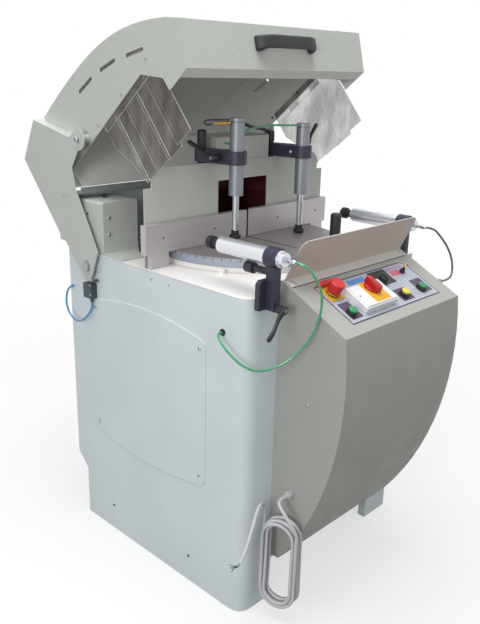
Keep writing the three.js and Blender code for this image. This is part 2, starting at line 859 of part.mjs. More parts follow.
// A round piece standing on the console's face, in the face's own places (x, s, height)
const face_point = (x, s, h) => {
  const sin = Math.sin(console_slope);
  const cos = Math.cos(console_slope);
  return [x, console_lip_y + s * cos - h * sin, console_lip_z + s * sin + h * cos];
};
const face_peg = (x, s, h0, h1, radius, sides = fine_sides) => (
  bar(face_point(x, s, h0), face_point(x, s, h1), radius, radius, sides));

function console_shell() {
  const outer = console_profile();
  const inner = bent_sheet(outer, sheet).slice(outer.length);
  const hollow = along_x(inner, console_left + sheet, console_right - sheet);
  const window_bottom = arch_height + console_window_margin;
  const window = box(console_left + console_window_margin, console_right - console_window_margin,
    -sheet - overrun, overrun, window_bottom, underside_z - console_window_margin);
  const console_grommet = bar([console_right - sheet / 2, console_grommet_y, console_grommet_z],
    [console_right + grommet_height, console_grommet_y, console_grommet_z], grommet_radius, grommet_radius, small_sides);
  let shell = along_x(outer, console_left, console_right).subtract(hollow).subtract(window).add(console_grommet);
  const key = together(face_peg(key_x, key_s, -sheet / 2, key_height / 2, key_radius, small_sides),
    face_peg(key_x, key_s, -sheet / 2, key_height, key_radius / 2, small_sides));
  shell = shell.add(key);
  for (const x of [left_button_x, right_button_x, reset_button_x]) {
    shell = shell.add(face_peg(x, start_button_s, -sheet / 2, bezel_height, bezel_radius))
      .subtract(face_peg(x, start_button_s, -sheet - overrun, bezel_height + overrun, button_radius + bore_gap));
  }
  return shell.add(face_peg(estop_x, estop_s, -sheet / 2, estop_collar_height, estop_collar_radius))
    .subtract(face_peg(estop_x, estop_s, -sheet - overrun, estop_collar_height + overrun,
      estop_stem_radius + bore_gap));
}
add(saw, 'console_shell', console_shell(), console_paint());

// Push buttons, emergency stop and rotary switches, drawn on the console's face
function push_button(x) {
  const profile = [[0, -button_depth], [button_radius, -button_depth], [button_radius, bezel_height + button_proud / 2],
    [button_radius - button_proud / 2, bezel_height + button_proud], [0, bezel_height + button_proud]];
  return turned(profile, [x, start_button_s, 0]);
}
add(console_face, 'start_button_left', push_button(left_button_x), paint('#1f8a4c'));
add(console_face, 'start_button_right', push_button(right_button_x), paint('#1f8a4c'));
add(console_face, 'reset_button', push_button(reset_button_x), paint('#d8c83a'));

function estop_button() {
  const top = estop_head_bottom + estop_head_height;
  const edge = estop_head_height / 4;
  const profile = [[0, -button_depth], [estop_stem_radius, -button_depth], [estop_stem_radius, estop_head_bottom],
    [estop_head_radius, estop_head_bottom + edge], [estop_head_radius, top - edge],
    [estop_head_radius - edge, top], [0, top]];
  return turned(profile, [estop_x, estop_s, 0]);
}
add(console_face, 'estop_button', estop_button(), paint('#c2262c', 0.4));

function switch_box() {
  const low = rounded([[box_left, box_low], [box_right, box_low], [box_right, box_high], [box_left, box_high]],
    box_bevel);
  const lid = rounded([[box_left + box_bevel, box_low + box_bevel], [box_right - box_bevel, box_low + box_bevel],
    [box_right - box_bevel, box_high - box_bevel], [box_left + box_bevel, box_high - box_bevel]], box_bevel);
  return along_z(low, gap, box_height - box_bevel).add(along_z(lid, box_height / 2, box_height));
}
add(console_face, 'switch_box', switch_box(), paint('#e9e9ea'));

function main_switch() {
  const base = box_height + gap;
  const disc = bar([switch_x, switch_s, base], [switch_x, switch_s, base + switch_disc_height],
    switch_disc_radius, switch_disc_radius - switch_disc_height / 4);
  const half = switch_grip_length / 2;
  const grip = rounded([[switch_x - switch_grip_width / 2, switch_s - half],
    [switch_x + switch_grip_width / 2, switch_s - half],
    [switch_x + switch_grip_width / 2, switch_s + half],
    [switch_x - switch_grip_width / 2, switch_s + half]], switch_grip_width / 2);
  return disc.add(along_z(grip, base + switch_disc_height / 4, base + switch_disc_height + switch_grip_height));
}
add(console_face, 'main_switch', main_switch(), paint('#b3161f', 0.4));

function mode_selector() {
  const disc = bar([selector_x, selector_s, gap], [selector_x, selector_s, gap + selector_height],
    selector_radius, selector_radius - selector_height / 4);
  const half = selector_grip_width / 2;
  const grip = box(selector_x - half, selector_x + half, selector_s - selector_radius + half,
    selector_s + selector_radius - half, selector_height / 2, selector_height + selector_grip_height);
  return disc.add(grip);
}
add(console_face, 'mode_selector', mode_selector(), black_plastic());

// Deflector: flange on the console's crest, then a plate leaning to the operator
function deflector() {
  const flange_start = console_run - deflector_flange;
  const lift = gap;
  const [, y0, z0] = face_point(0, flange_start, lift);
  const [, y1, z1] = face_point(0, console_run, lift);
  const path = [[deflector_top_y, deflector_top_z], [y1, z1], [y0, z0]];
  const body = along_x(bent_sheet(path, deflector_sheet), deflector_left, deflector_right);
  const front_view = rounded([[deflector_left, z0 - overrun], [deflector_right, z0 - overrun],
    [deflector_right, deflector_top_z], [deflector_left, deflector_top_z]],
  [0, 0, deflector_corner, deflector_corner]);
  return body.intersect(along_y(front_view, console_lip_y, fence_front));
}
add(saw, 'deflector', deflector(), grey_paint());

// Fence halves, bevelled behind the blade gap so that the turned blade clears them
function fence(right) {
  const inner = right ? table_x + fence_half_gap : table_x - fence_half_gap;
  const outer = right ? cabinet_width - fence_right_inset : -fence_left_overhang;
  const back = fence_front + fence_thickness;
  const bevel = right ? inner + fence_thickness : inner - fence_thickness;
  const plan = [[outer, fence_front], [inner, fence_front], [bevel, back], [outer, back]];
  const foot_x = right ? cabinet_width - fence_foot_right - fence_foot_length : fence_foot_left;
  const foot = box(foot_x, foot_x + fence_foot_length, fence_front + fence_foot_inset, back - fence_foot_inset,
    top_z + gap, table_top + fence_thickness / 2);
  let solid = along_z(plan, table_top + fence_bottom_gap, fence_top).add(foot);
  for (const x of right ? fence_holes_right : fence_holes_left) {
    solid = solid.subtract(bar([x, fence_front - overrun, fence_hole_z], [x, back + overrun, fence_hole_z],
      fence_hole_radius, fence_hole_radius, small_sides));
  }
  return solid;
}
add(saw, 'fence_left', fence(false), aluminium());
add(saw, 'fence_right', fence(true), aluminium());

// Back plate with chamfered shoulders, feet beside the table and the blade's window
function back_plate() {
  const plate_left = plate_inset;
  const plate_right = cabinet_width - plate_inset;
  const low = table_top + plate_over_table;
  const outline = [
    [plate_left, top_z + gap], [plate_left + plate_foot, top_z + gap], [plate_left + plate_foot, low],
    [window_left, low], [window_left, window_top], [window_right, window_top], [window_right, low],
    [plate_right - plate_foot, low], [plate_right - plate_foot, top_z + gap], [plate_right, top_z + gap],
    [plate_right, plate_shoulder_z], [plate_right - plate_shoulder_x, plate_shoulder_z],
    [plate_right - plate_shoulder_x, plate_chamfer_z], [plate_right - plate_shoulder_x - plate_chamfer_x, plate_top],
    [plate_left + plate_shoulder_x + plate_chamfer_x, plate_top], [plate_left + plate_shoulder_x, plate_chamfer_z],
    [plate_left + plate_shoulder_x, plate_shoulder_z], [plate_left, plate_shoulder_z]];
  return along_y(outline, plate_front, plate_front + plate_sheet);
}
add(saw, 'back_plate', back_plate(), grey_paint());

// Blade guard behind the window, with a chute rising from it
function blade_guard() {
  const front = plate_front + plate_sheet + gap;
  const low = table_top + guard_over_table;
  const t = guard_sheet;
  const outside = box(guard_left, guard_right, front, guard_rear, low, guard_top)
    .add(box(chute_left, chute_right, front, chute_rear, guard_top - t, chute_top));
  const inside = box(guard_left + t, guard_right - t, front - overrun, guard_rear - t, low - overrun, guard_top - t)
    .add(box(chute_left + t, chute_right - t, front + t, chute_rear - t, guard_top - overrun, chute_top - t))
    .add(box(window_left, window_right, front - overrun, front + overrun, low, window_top));
  return outside.subtract(inside);
}
add(saw, 'blade_guard', blade_guard(), grey_paint());

// Hinge boxes: folded sheet on a thick base, with a rubber bumper and a plug on top
function hinge_box(right) {
  const x = (value) => across(value, right);
  const base = box(x(0), x(box_width), box_base_front, box_rear_y, top_z + gap, top_z + gap + box_base_sheet);
  const front_outline = rounded([[0, top_z + gap], [box_width, top_z + gap], [box_width, box_top_z], [0, box_top_z]],
    [0, 0, box_edge, box_edge]).map(([u, z]) => [x(u), z]);
  const shell = along_y(front_outline, box_front_y, box_rear_y);
  const hollow = box(x(sheet), x(box_width - sheet), box_front_y + sheet, box_rear_y + overrun,
    top_z + gap + box_base_sheet, box_top_z - sheet);
  const bumper = bar([x(bumper_x), bumper_y, top_z + gap], [x(bumper_x), bumper_y, top_z + box_base_sheet + bumper_height],
    bumper_radius);
  const plug = bar([x(box_width / 2), plug_y, box_top_z - sheet / 2], [x(box_width / 2), plug_y, box_top_z + plug_height],
    plug_radius);
  return together(base, shell).subtract(hollow).add(bumper).add(plug);
}
add(saw, 'hinge_box_left', hinge_box(false), cabinet_paint());
add(saw, 'hinge_box_right', hinge_box(true), cabinet_paint());

// Rear wall: a sheet with a folded top edge
function rear_wall() {
  const path = [[rear_wall_y - rear_wall_flange, rear_wall_top], [rear_wall_y, rear_wall_top],
    [rear_wall_y, top_z + gap]];
  return along_x(bent_sheet(path, rear_wall_sheet), sheet, cabinet_width - sheet);
}
add(saw, 'rear_wall', rear_wall(), cabinet_paint());

// Limit valve with its roller lever, worked by the left hood arm
function limit_valve() {
  const body = along_x(rounded([[valve_front, valve_bottom], [valve_rear, valve_bottom], [valve_rear, valve_top],
    [valve_front, valve_top]], sheet), -valve_thickness, -gap);
  const axis_x = -valve_thickness / 2;
  const lever = bar([axis_x, (valve_front + valve_rear) / 2, valve_top - sheet], [axis_x, roller_y, roller_z],
    sheet, sheet, small_sides);
  const roller = bar([axis_x - roller_radius, roller_y, roller_z], [axis_x + roller_radius, roller_y, roller_z],
    roller_radius, roller_radius, small_sides);
  const fitting = bar([axis_x, valve_front + fitting_length, valve_bottom + sheet],
    [axis_x, valve_front + fitting_length, valve_bottom - fitting_length], fitting_radius, fitting_radius, small_sides);
  return together(body, lever, roller, fitting);
}
add(saw, 'limit_valve', limit_valve(), black_plastic());

// Cable gland on the console's left wall
function cable_gland() {
  const nut = gland_length / 2;
  const profile = [[0, 0], [gland_radius, 0], [gland_radius, nut], [gland_radius - sheet, nut],
    [cable_diameter / 2 + sheet / 2, gland_length], [0, gland_length]];
  return turned(profile, [console_left - gap, gland_y, gland_z], [-1, 0, 0], small_sides);
}
add(saw, 'cable_gland', cable_gland(), black_plastic());

// Turntable: disc with the blade's slot, a spigot ring in the top's opening and a scale band
function turntable() {
  const band_bottom = table_top - scale_height - scale_depth;
  const profile = [[0, table_bottom], [table_radius, table_bottom], [table_radius, band_bottom],
    [table_radius + scale_depth, band_bottom], [table_radius + scale_depth, table_top - scale_depth],
    [table_radius, table_top - scale_depth], [table_radius, table_top], [0, table_top]];
  const ring = bar([0, 0, table_bottom - spigot_ring_drop], [0, 0, table_bottom + scale_depth],
    spigot_ring_outer, spigot_ring_outer, disc_sides)
    .subtract(bar([0, 0, table_bottom - spigot_ring_drop - overrun], [0, 0, table_bottom],
      spigot_ring_inner, spigot_ring_inner, disc_sides));
  const slot = box(-slot_width / 2, slot_width / 2, slot_front_inset - table_radius, table_radius - slot_rear_inset,
    table_bottom - spigot_ring_drop, table_top + overrun);
  return turned(profile, [0, 0, 0], [0, 0, 1], disc_sides).add(ring).subtract(slot);
}
const table = new THREE.Group();
table.position.set(table_x, table_y, 0);
saw.add(table);
add(table, 'turntable', turntable(), steel());

function table_handle() {
  const at = [handle_reach * Math.cos(handle_angle), handle_reach * Math.sin(handle_angle), table_top + gap];
  return turned([[0, 0], [handle_radius, 0], [handle_radius, handle_height - handle_round],
    [handle_radius - handle_round, handle_height], [0, handle_height]], at);
}
add(table, 'table_handle', table_handle(), black_plastic());

// Hanger and motor under the turntable; the motor's axis is the saw arm's pivot
function saw_hanger() {
  const cheek = [[hanger_front, table_bottom - gap], [hanger_rear, table_bottom - gap],
    ...circle(saw_pivot_y, saw_pivot_z, hanger_radius, plain_sides, 0, -Math.PI)];
  const plate = along_x(cheek, hanger_left, hanger_right);
  const foot = box(hanger_left, hanger_right + hanger_radius, hanger_front, hanger_rear,
    table_bottom - gap - hanger_right + hanger_left, table_bottom - gap);
  const motor_end = hanger_right + motor_length;
  const motor_axis = (x) => [x, saw_pivot_y, saw_pivot_z];
  let motor = bar(motor_axis(hanger_right - sheet), motor_axis(motor_end), motor_radius, motor_radius, 2 * motor_fins);
  for (let i = 0; i < motor_fins; i += 1) {
    const angle = 2 * Math.PI * i / motor_fins;
    const y = saw_pivot_y + motor_radius * Math.cos(angle);
    const z = saw_pivot_z + motor_radius * Math.sin(angle);
    motor = motor.subtract(bar([hanger_right + 2 * motor_fin_depth, y, z], [motor_end - 2 * motor_fin_depth, y, z],
      motor_fin_depth, motor_fin_depth, 4));
  }
  const shaft = bar(motor_axis(saw_arm_left), motor_axis(hanger_right), shaft_radius);
  return together(plate, foot, motor, shaft);
}

// Pieces under the turntable keep the saw's own places inside the turning group
const under_table = new THREE.Group();
under_table.position.set(-table_x, -table_y, 0);
table.add(under_table);
add(under_table, 'saw_hanger', saw_hanger(), dark_anodised());

// Saw arm: a webbed casting from the pivot to the arbor
const arbor_y = saw_pivot_y - Math.sqrt(arm_length ** 2 - arbor_rest_drop ** 2);
const arbor_z = saw_pivot_z - arbor_rest_drop;

function saw_arm() {
  const body = along_x(link_outline(saw_pivot_y, saw_pivot_z, saw_arm_pivot_radius, arbor_y, arbor_z,
    saw_arm_arbor_radius), saw_arm_left, saw_arm_right);
  const pocket = along_x(link_outline(saw_pivot_y, saw_pivot_z, saw_arm_pivot_radius - saw_arm_rib, arbor_y, arbor_z,
    saw_arm_arbor_radius - saw_arm_rib), saw_arm_left + 2 * saw_arm_rib, saw_arm_right + overrun);
  const hub = bar([saw_arm_left, saw_pivot_y, saw_pivot_z], [saw_arm_right, saw_pivot_y, saw_pivot_z],
    shaft_radius + saw_arm_rib);
  const hub_bore = bar([saw_arm_left - overrun, saw_pivot_y, saw_pivot_z],
    [saw_arm_right + overrun, saw_pivot_y, saw_pivot_z], shaft_radius + bore_gap);
  const pulley = bar([saw_arm_left, arbor_y, arbor_z], [saw_arm_right - sheet, arbor_y, arbor_z],
    shaft_radius + saw_arm_rib / 2);
  return body.subtract(pocket).add(hub).add(pulley).subtract(hub_bore);
}
add(under_table, 'saw_arm', saw_arm(), steel());

// Saw blade: raked teeth with gullets, clamped between two flanges on its arbor
function saw_blade() {
  const outline = [];
  for (let i = 0; i < blade_teeth; i += 1) {
    const at = (share, radius) => {
      const angle = 2 * Math.PI * (i + share) / blade_teeth;
      return [arbor_y + radius * Math.cos(angle), arbor_z + radius * Math.sin(angle)];
    };
    outline.push(at(0, blade_radius), at(tooth_lean_share, blade_radius - tooth_depth * gullet_share),
      at(gullet_share, blade_radius - tooth_depth));
  }
  const left = table_x - blade_thickness / 2;
  const right = table_x + blade_thickness / 2;
  const axis = (x) => [x, arbor_y, arbor_z];
  return together(
    along_x(outline, left, right),
    bar(axis(left - blade_flange_thickness), axis(right + blade_flange_thickness), blade_flange_radius),
    bar(axis(right), axis(saw_arm_left - gap), arbor_radius),
    bar(axis(left - 2 * blade_flange_thickness), axis(left), arbor_radius, arbor_radius, small_sides),
  );
}
add(under_table, 'saw_blade', saw_blade(), steel());

// Hood shell: front, crown and rear wall as one bent sheet between two cheeks
const crown = new THREE.CubicBezierCurve(
  new THREE.Vector2(hood_crest_y, hood_crest_z), new THREE.Vector2(hood_swell_front_y, hood_swell_front_z),
  new THREE.Vector2(hood_swell_rear_y, hood_rear_z), new THREE.Vector2(hood_rear_y, hood_rear_z),
).getPoints(hood_steps).map((p) => [p.x, p.y]);

function hood_shell() {
  const path = [[hood_lip_y, hood_lip_z], [hood_chin_y, hood_lip_z], [hood_brow_y, hood_brow_z], ...crown,
    [hood_foot_y, hood_foot_z]];
  const skin = along_x(bent_sheet(path, hood_sheet), hood_left + hood_plate / 2, hood_right - hood_plate / 2);
  const cheek = [[hood_lip_y, hood_lip_z], [hood_chin_y, hood_lip_z], [hood_brow_y, hood_brow_z], ...crown,
    [hood_foot_y, hood_edge_z], [hood_edge_y, hood_edge_z], [hood_cheek_y, hood_cheek_z]];
  let shell = skin.add(along_x(cheek, hood_left, hood_left + hood_plate))
    .add(along_x(cheek, hood_right - hood_plate, hood_right));
  hood_slots.forEach(([y, z, length, degrees]) => {
    const tilt = degrees * radians;
    const along = [Math.cos(tilt) * length / 2, Math.sin(tilt) * length / 2];
    const up = [-Math.sin(tilt) * hood_slot_height / 2, Math.cos(tilt) * hood_slot_height / 2];
    const slot = [[y - along[0] - up[0], z - along[1] - up[1]], [y + along[0] - up[0], z + along[1] - up[1]],
      [y + along[0] + up[0], z + along[1] + up[1]], [y - along[0] + up[0], z - along[1] + up[1]]];
    shell = shell.subtract(along_x(slot, hood_left - overrun, hood_left + hood_plate + overrun))
      .subtract(along_x(slot, hood_right - hood_plate - overrun, hood_right + overrun));
  });
  return shell;
}
add(hood, 'hood_shell', hood_shell(), grey_paint());

// Hood arms: plates outside the cabinet with a flange and a bolted lobe on the cheek
function hood_arm(right) {
  const x = (value) => across(value, right);
  const outside = arm_inner_x - arm_plate;
  const lobe_start = Math.atan2(-1, 1);
  const lobe = circle(arm_lobe_y, arm_lobe_z, arm_lobe_radius, plain_sides, lobe_start, -Math.PI);
  const outline = [...arm_outline, ...lobe, [arm_flange_end_y, arm_flange_end_z]];
  const seat = hood_left - gap;
  const flange = bent_sheet([[arm_flange_end_y, arm_flange_end_z], arm_outline[0]], arm_plate);
  const axis = (value) => [x(value), arm_lobe_y, arm_lobe_z];
  const hole = bar([x(outside - overrun), 0, 0], [x(arm_inner_x + overrun), 0, 0],
    pivot_radius + bore_gap, pivot_radius + bore_gap, fine_sides);
  return together(
    along_x(outline, x(outside), x(arm_inner_x)),
    along_x(flange, x(outside), x(seat)),
    bar(axis(outside - arm_bolt_head), axis(arm_inner_x), arm_bolt_radius, arm_bolt_radius, small_sides),
    bar(axis(arm_inner_x - arm_plate / 2), axis(seat), arm_spacer_radius),
  ).subtract(hole);
}
add(hood, 'hood_arm_left', hood_arm(false), grey_paint());
add(hood, 'hood_arm_right', hood_arm(true), grey_paint());

// Curtains: lapped clear strips hanging from a rail inside each cheek, the rearmost trimmed to pass the fence
function curtain(right) {
  const cheek = right ? hood_right - hood_plate - gap : hood_left + hood_plate + gap;
  const inward = right ? -1 : 1;
  const x = (depth) => cheek + inward * depth;
  let solid = box(x(0), x(rail_sheet), strip_front, strip_front + strip_pitch * strip_count + strip_lap,
    rail_bottom, rail_top);
  for (let i = 0; i < strip_count; i += 1) {
    const layer = rail_sheet - strip_sheet / 2 + (i % 2) * strip_sheet;
    const y = strip_front + i * strip_pitch;
    const rear = y + strip_pitch + strip_lap;
    const low = i < strip_count - 1 ? [[rear, strip_bottoms[i]]] : strip_trim;
    solid = solid.add(along_x([[y, strip_top], [y, strip_bottoms[i]], ...low, [rear, strip_top]],
      x(layer), x(layer + strip_sheet)));
  }
  return solid;
}
const clear_strip = () => new THREE.MeshStandardMaterial({ color: '#c9cfcb', roughness: 0.15, transparent: true, opacity: 0.5 });
add(hood, 'curtain_left', curtain(false), clear_strip());
add(hood, 'curtain_right', curtain(true), clear_strip());

// Hood handle: a moulded bow on the sloping front
function hood_handle() {
  const half = hood_handle_length / 2;
  const outer = [[-half, 0], [-half + hood_handle_taper, -hood_handle_reach],
    [half - hood_handle_taper, -hood_handle_reach], [half, 0]];
  const bow = bent_sheet(rounded(outer, hood_handle_radius, false), -hood_handle_thickness);
  return along_z(bow, -hood_handle_height / 2, hood_handle_height / 2)
    .intersect(box(-half, half, -hood_handle_reach - overrun, 0, -hood_handle_height, hood_handle_height));
}
const front_lean = Math.atan2(hood_chin_y - hood_brow_y, hood_brow_z - hood_lip_z);
const handle_seat = new THREE.Group();
const face_y = hood_brow_y + (hood_brow_z - hood_handle_z) * Math.tan(front_lean);
handle_seat.position.set((hood_left + hood_right) / 2, face_y - gap, hood_handle_z);
handle_seat.rotation.x = front_lean;
hood.add(handle_seat);
add(handle_seat, 'hood_handle', hood_handle(), black_plastic());

// Vertical clamps: a post behind the back plate, a swinging arm, a barrel and its rod
const arm_top = clamp_arm_bottom + clamp_arm_height;

function clamp_post(x, knobbed) {
  const front = plate_front + plate_sheet + gap;
  const block = box(x - post_block_width / 2, x + post_block_width / 2, front, post_block_rear,
    post_block_bottom, post_block_top);
  const post = bar([x, post_y, post_block_top - sheet], [x, post_y, arm_top + gap], post_radius, post_radius, fine_sides);
  if (!knobbed) return block.add(post);
  const edge = knob_radius / 4;
  const knob = turned([[0, 0], [knob_radius, 0], [knob_radius, knob_height - edge], [knob_radius - edge, knob_height],
    [0, knob_height]], [x, post_y, arm_top + gap]);
  return together(block, post, knob);
}
add(saw, 'clamp_post_left', clamp_post(left_post_x, true), dark_anodised());
add(saw, 'clamp_post_right', clamp_post(right_post_x, false), dark_anodised());

function clamp_arm(post_x, barrel_x) {
  const body = along_z(link_outline(post_x, post_y, clamp_arm_rear_radius, barrel_x, barrel_y,
    clamp_arm_front_radius), clamp_arm_bottom, arm_top);
  const drill = (x, y, radius) => bar([x, y, clamp_arm_bottom - overrun], [x, y, arm_top + overrun],
    radius, radius, fine_sides);
  const slit = box(barrel_x - clamp_arm_slit / 2, barrel_x + clamp_arm_slit / 2,
    barrel_y - clamp_arm_front_radius - overrun, barrel_y, clamp_arm_bottom - overrun, arm_top + overrun);
  return body.subtract(drill(post_x, post_y, post_radius + bore_gap))
    .subtract(drill(barrel_x, barrel_y, barrel_radius + gap)).subtract(slit);
}
add(saw, 'clamp_arm_left', clamp_arm(left_post_x, left_barrel_x), dark_anodised());
add(saw, 'clamp_arm_right', clamp_arm(right_post_x, right_barrel_x), dark_anodised());

// A barrel with its rod's bore, drawn up from its open end
function barrel(radius, length, end_radius, end_length, bore_depth) {
  const groove = cap_groove;
  return [[0, bore_depth], [rod_radius + bore_gap, bore_depth], [rod_radius + bore_gap, 0], [radius, 0],
    [radius, length], [end_radius - groove, length], [end_radius - groove, length + groove],
    [end_radius, length + groove], [end_radius, length + end_length], [0, length + end_length]];
}

function top_barrel(x, bottom, side) {
  const body = turned(barrel(barrel_radius, barrel_length, cap_radius, cap_height, rod_bore_depth), [x, barrel_y, bottom]);
  const z = bottom + barrel_length + cap_height / 2 + cap_groove / 2;
  const fitting = bar([x, barrel_y, z], [x + side * (cap_radius + fitting_length), barrel_y, z],
    fitting_radius - groove_inset, fitting_radius - groove_inset, small_sides);
  return body.add(fitting);
}
add(saw, 'top_barrel_left', top_barrel(left_barrel_x, left_barrel_bottom, -1), aluminium());
add(saw, 'top_barrel_right', top_barrel(right_barrel_x, right_barrel_bottom, -1), aluminium());

// A rod with a rubber pad on its end, drawn up from the pad's face
function pad_rod(flange, neck, length) {
  const edge = flange / 4;
  return [[0, 0], [pad_radius - edge, 0], [pad_radius, edge], [pad_radius, flange], [pad_neck_radius, flange],
    [pad_neck_radius, flange + neck], [rod_radius, flange + neck], [rod_radius, length], [0, length]];
}
add(saw, 'top_rod_left', turned(pad_rod(pad_height, pad_neck_height, left_barrel_bottom + rod_hidden - left_pad_z),
  [left_barrel_x, barrel_y, left_pad_z]), steel());
add(saw, 'top_rod_right', turned(pad_rod(pad_height, pad_neck_height, right_barrel_bottom + rod_hidden - right_pad_z),
  [right_barrel_x, barrel_y, right_pad_z]), steel());

// Levers: a hub and a tapered handle
function lever(hub_from, hub_to, root, tip) {
  return together(
    bar(hub_from, hub_to, lever_hub_radius),
    bar(root, tip, lever_root_radius, lever_tip_radius, small_sides),
    bar(tip, tip.map((value, i) => value + (tip[i] - root[i]) * lever_end_share), lever_tip_radius,
      lever_tip_radius / 2, small_sides),
  );
}
const lever_z = clamp_arm_bottom + clamp_arm_height / 2;

function arm_edge_x(y) {
  const share = (post_y - y) / (post_y - barrel_y);
  const centre = left_post_x + (left_barrel_x - left_post_x) * share;
  return centre - clamp_arm_rear_radius - (clamp_arm_front_radius - clamp_arm_rear_radius) * share;
}

function top_lever_left() {
  const seat = arm_edge_x(top_lever_left_y) - lever_seat;
  const hub_to = [seat - lever_hub_length, top_lever_left_y, lever_z];
  const root = [seat - lever_hub_length + lever_root_radius, top_lever_left_y, lever_z];
  return lever([seat, top_lever_left_y, lever_z], hub_to, root, top_lever_left_tip);
}
add(saw, 'top_lever_left', top_lever_left(), black_plastic());

function top_lever_right() {
  const base = arm_top + gap + gap;
  const top = base + top_lever_right_hub_height;
  return lever([right_post_x, post_y, base], [right_post_x, post_y, top],
    [right_post_x, post_y, top - lever_root_radius], top_lever_right_tip);
}
add(saw, 'top_lever_right', top_lever_right(), black_plastic());

// Side clamps: a bracket on the cabinet's front carries each barrel over the table
function side_clamp(x, bar_x, outward, bar_width, block_width, ring_rear, bar_front) {
  const half = bar_width / 2;
  const ring_front = ring_rear - side_ring_length;
  const block_front = -gap - side_block_depth;
  const axis = (y, z = side_axis_z) => [x, y, z];
  const ring = bar(axis(ring_rear), axis(ring_front), side_ring_radius, side_ring_radius, fine_sides);
  const post = along_y([[bar_x - half, side_axis_z], ...circle(bar_x, side_bar_bottom, half, small_sides, Math.PI, Math.PI),
    [bar_x + half, side_axis_z]], bar_front, block_front + sheet / 2);
  const block_inner = bar_x - outward * half;
  const block_outer = block_inner + outward * block_width;
  const block = along_y([[block_inner, side_bar_bottom - side_block_foot], [block_inner, side_block_top],
    [block_outer - outward * side_block_edge, side_block_top], [block_outer, side_block_top - side_block_edge],
    [block_outer, side_bar_bottom - side_block_foot]], block_front, -gap);
  const bore = bar(axis(ring_rear + overrun), axis(ring_front - overrun), side_barrel_radius + gap,
    side_barrel_radius + gap, fine_sides);
  const shaft = bar(axis(block_front, knurl_z), axis(knurl_front, knurl_z), knurl_shaft_radius, knurl_shaft_radius,
    small_sides);
  const knob = bar(axis(knurl_front, knurl_z), axis(knurl_front + knurl_length, knurl_z), knurl_radius);
  return together(ring, post, block).subtract(bore).add(shaft).add(knob);
}
const left_bar_x = left_side_x + left_bar_shift;
const right_bar_x = right_side_x + right_bar_shift;
add(saw, 'side_clamp_left', side_clamp(left_side_x, left_bar_x, -1, left_bar_width, left_block_width, left_ring_rear,
  left_bar_front), dark_anodised());
add(saw, 'side_clamp_right', side_clamp(right_side_x, right_bar_x, 1, right_bar_width, right_bar_width, right_ring_rear,
  right_bar_front), dark_anodised());

function side_barrel(x, front) {
  const body = turned(barrel(side_barrel_radius, side_barrel_length, side_cap_radius, side_cap_length, side_bore_depth),
    [x, front, side_axis_z], [0, -1, 0]);
  const rear = front - side_barrel_length - side_cap_length;
  const fitting = bar([x, rear + sheet, side_axis_z], [x, rear - side_fitting_length, side_axis_z],
    side_fitting_radius, side_fitting_radius / 2, small_sides);
  return body.add(fitting);
}
add(saw, 'side_barrel_left', side_barrel(left_side_x, left_side_front), aluminium());
add(saw, 'side_barrel_right', side_barrel(right_side_x, right_side_front), aluminium());

function side_rod(x, front) {
  const face = front + side_pad_gap + side_pad_neck + side_pad_flange;
  return turned(pad_rod(side_pad_flange, side_pad_neck, face - front + side_rod_hidden),
    [x, face, side_axis_z], [0, -1, 0]);
}
add(saw, 'side_rod_left', side_rod(left_side_x, left_side_front), black_plastic());
add(saw, 'side_rod_right', side_rod(right_side_x, right_side_front), black_plastic());

function side_lever(x, outward, bar_front) {
  const seat = bar_front - gap;
  const end = seat - lever_hub_length;
  const root = [x, end + lever_root_radius, side_bar_bottom];
  const tip = [x + outward * side_lever_tip_x, end + side_lever_tip_y, side_bar_bottom + side_lever_tip_z];
  return lever([x, seat, side_bar_bottom], [x, end, side_bar_bottom], root, tip);
}
add(saw, 'side_lever_left', side_lever(left_bar_x, -1, left_bar_front), black_plastic());
add(saw, 'side_lever_right', side_lever(right_bar_x, 1, right_bar_front), black_plastic());

// Mains cable: a lead from the gland, a hank hanging from it and a free tail
const hank_normal = [Math.cos(hank_turn), Math.sin(hank_turn)];
const hank_across = [Math.sin(hank_turn), -Math.cos(hank_turn)];
const hank_place = (u, w, n) => [hank_x + u * hank_across[0] + n * hank_normal[0],
  hank_y + u * hank_across[1] + n * hank_normal[1], hank_z + w];

// One loop goes down the right run, round the fold, up the left run and over the top
function hank_points() {
  const per_turn = 2 * (hank_fold_steps + hank_run_steps);
  const half_run = hank_half_height - hank_half_width;
  const reverse = hank_turns_per_layer;
  const points = [];
  const count = Math.round(hank_turns * per_turn);
  for (let i = 0; i <= count; i += 1) {
    const turn = i / per_turn;
    const layer = Math.min(Math.floor(turn / reverse), hank_layers - 1);
    const within = turn - layer * reverse;
    const inward = layer % 2 === 0 ? within : reverse - within;
    const radius = hank_half_width - hank_pitch * inward;
    let climbed = 0;
    for (let k = 1; k < hank_layers; k += 1) {
      const share = (turn - k * reverse) / hank_climb_share / 2 + 1 / 2;
      climbed += Math.min(Math.max(share, 0), 1);
    }
    const n = (climbed - (hank_layers - 1) / 2) * hank_pitch;
    const step = (i + hank_run_steps / 2) % per_turn;
    const half_turn = per_turn / 2;
    const side = step < half_turn ? 1 : -1;
    const local = step % half_turn;
    if (local <= hank_run_steps) {
      points.push(hank_place(side * radius, side * half_run * (1 - 2 * local / hank_run_steps), n));
    } else {
      const angle = Math.PI * (local - hank_run_steps) / hank_fold_steps;
      points.push(hank_place(side * radius * Math.cos(angle), -side * (half_run + radius * Math.sin(angle)), n));
    }
  }
  return points;
}

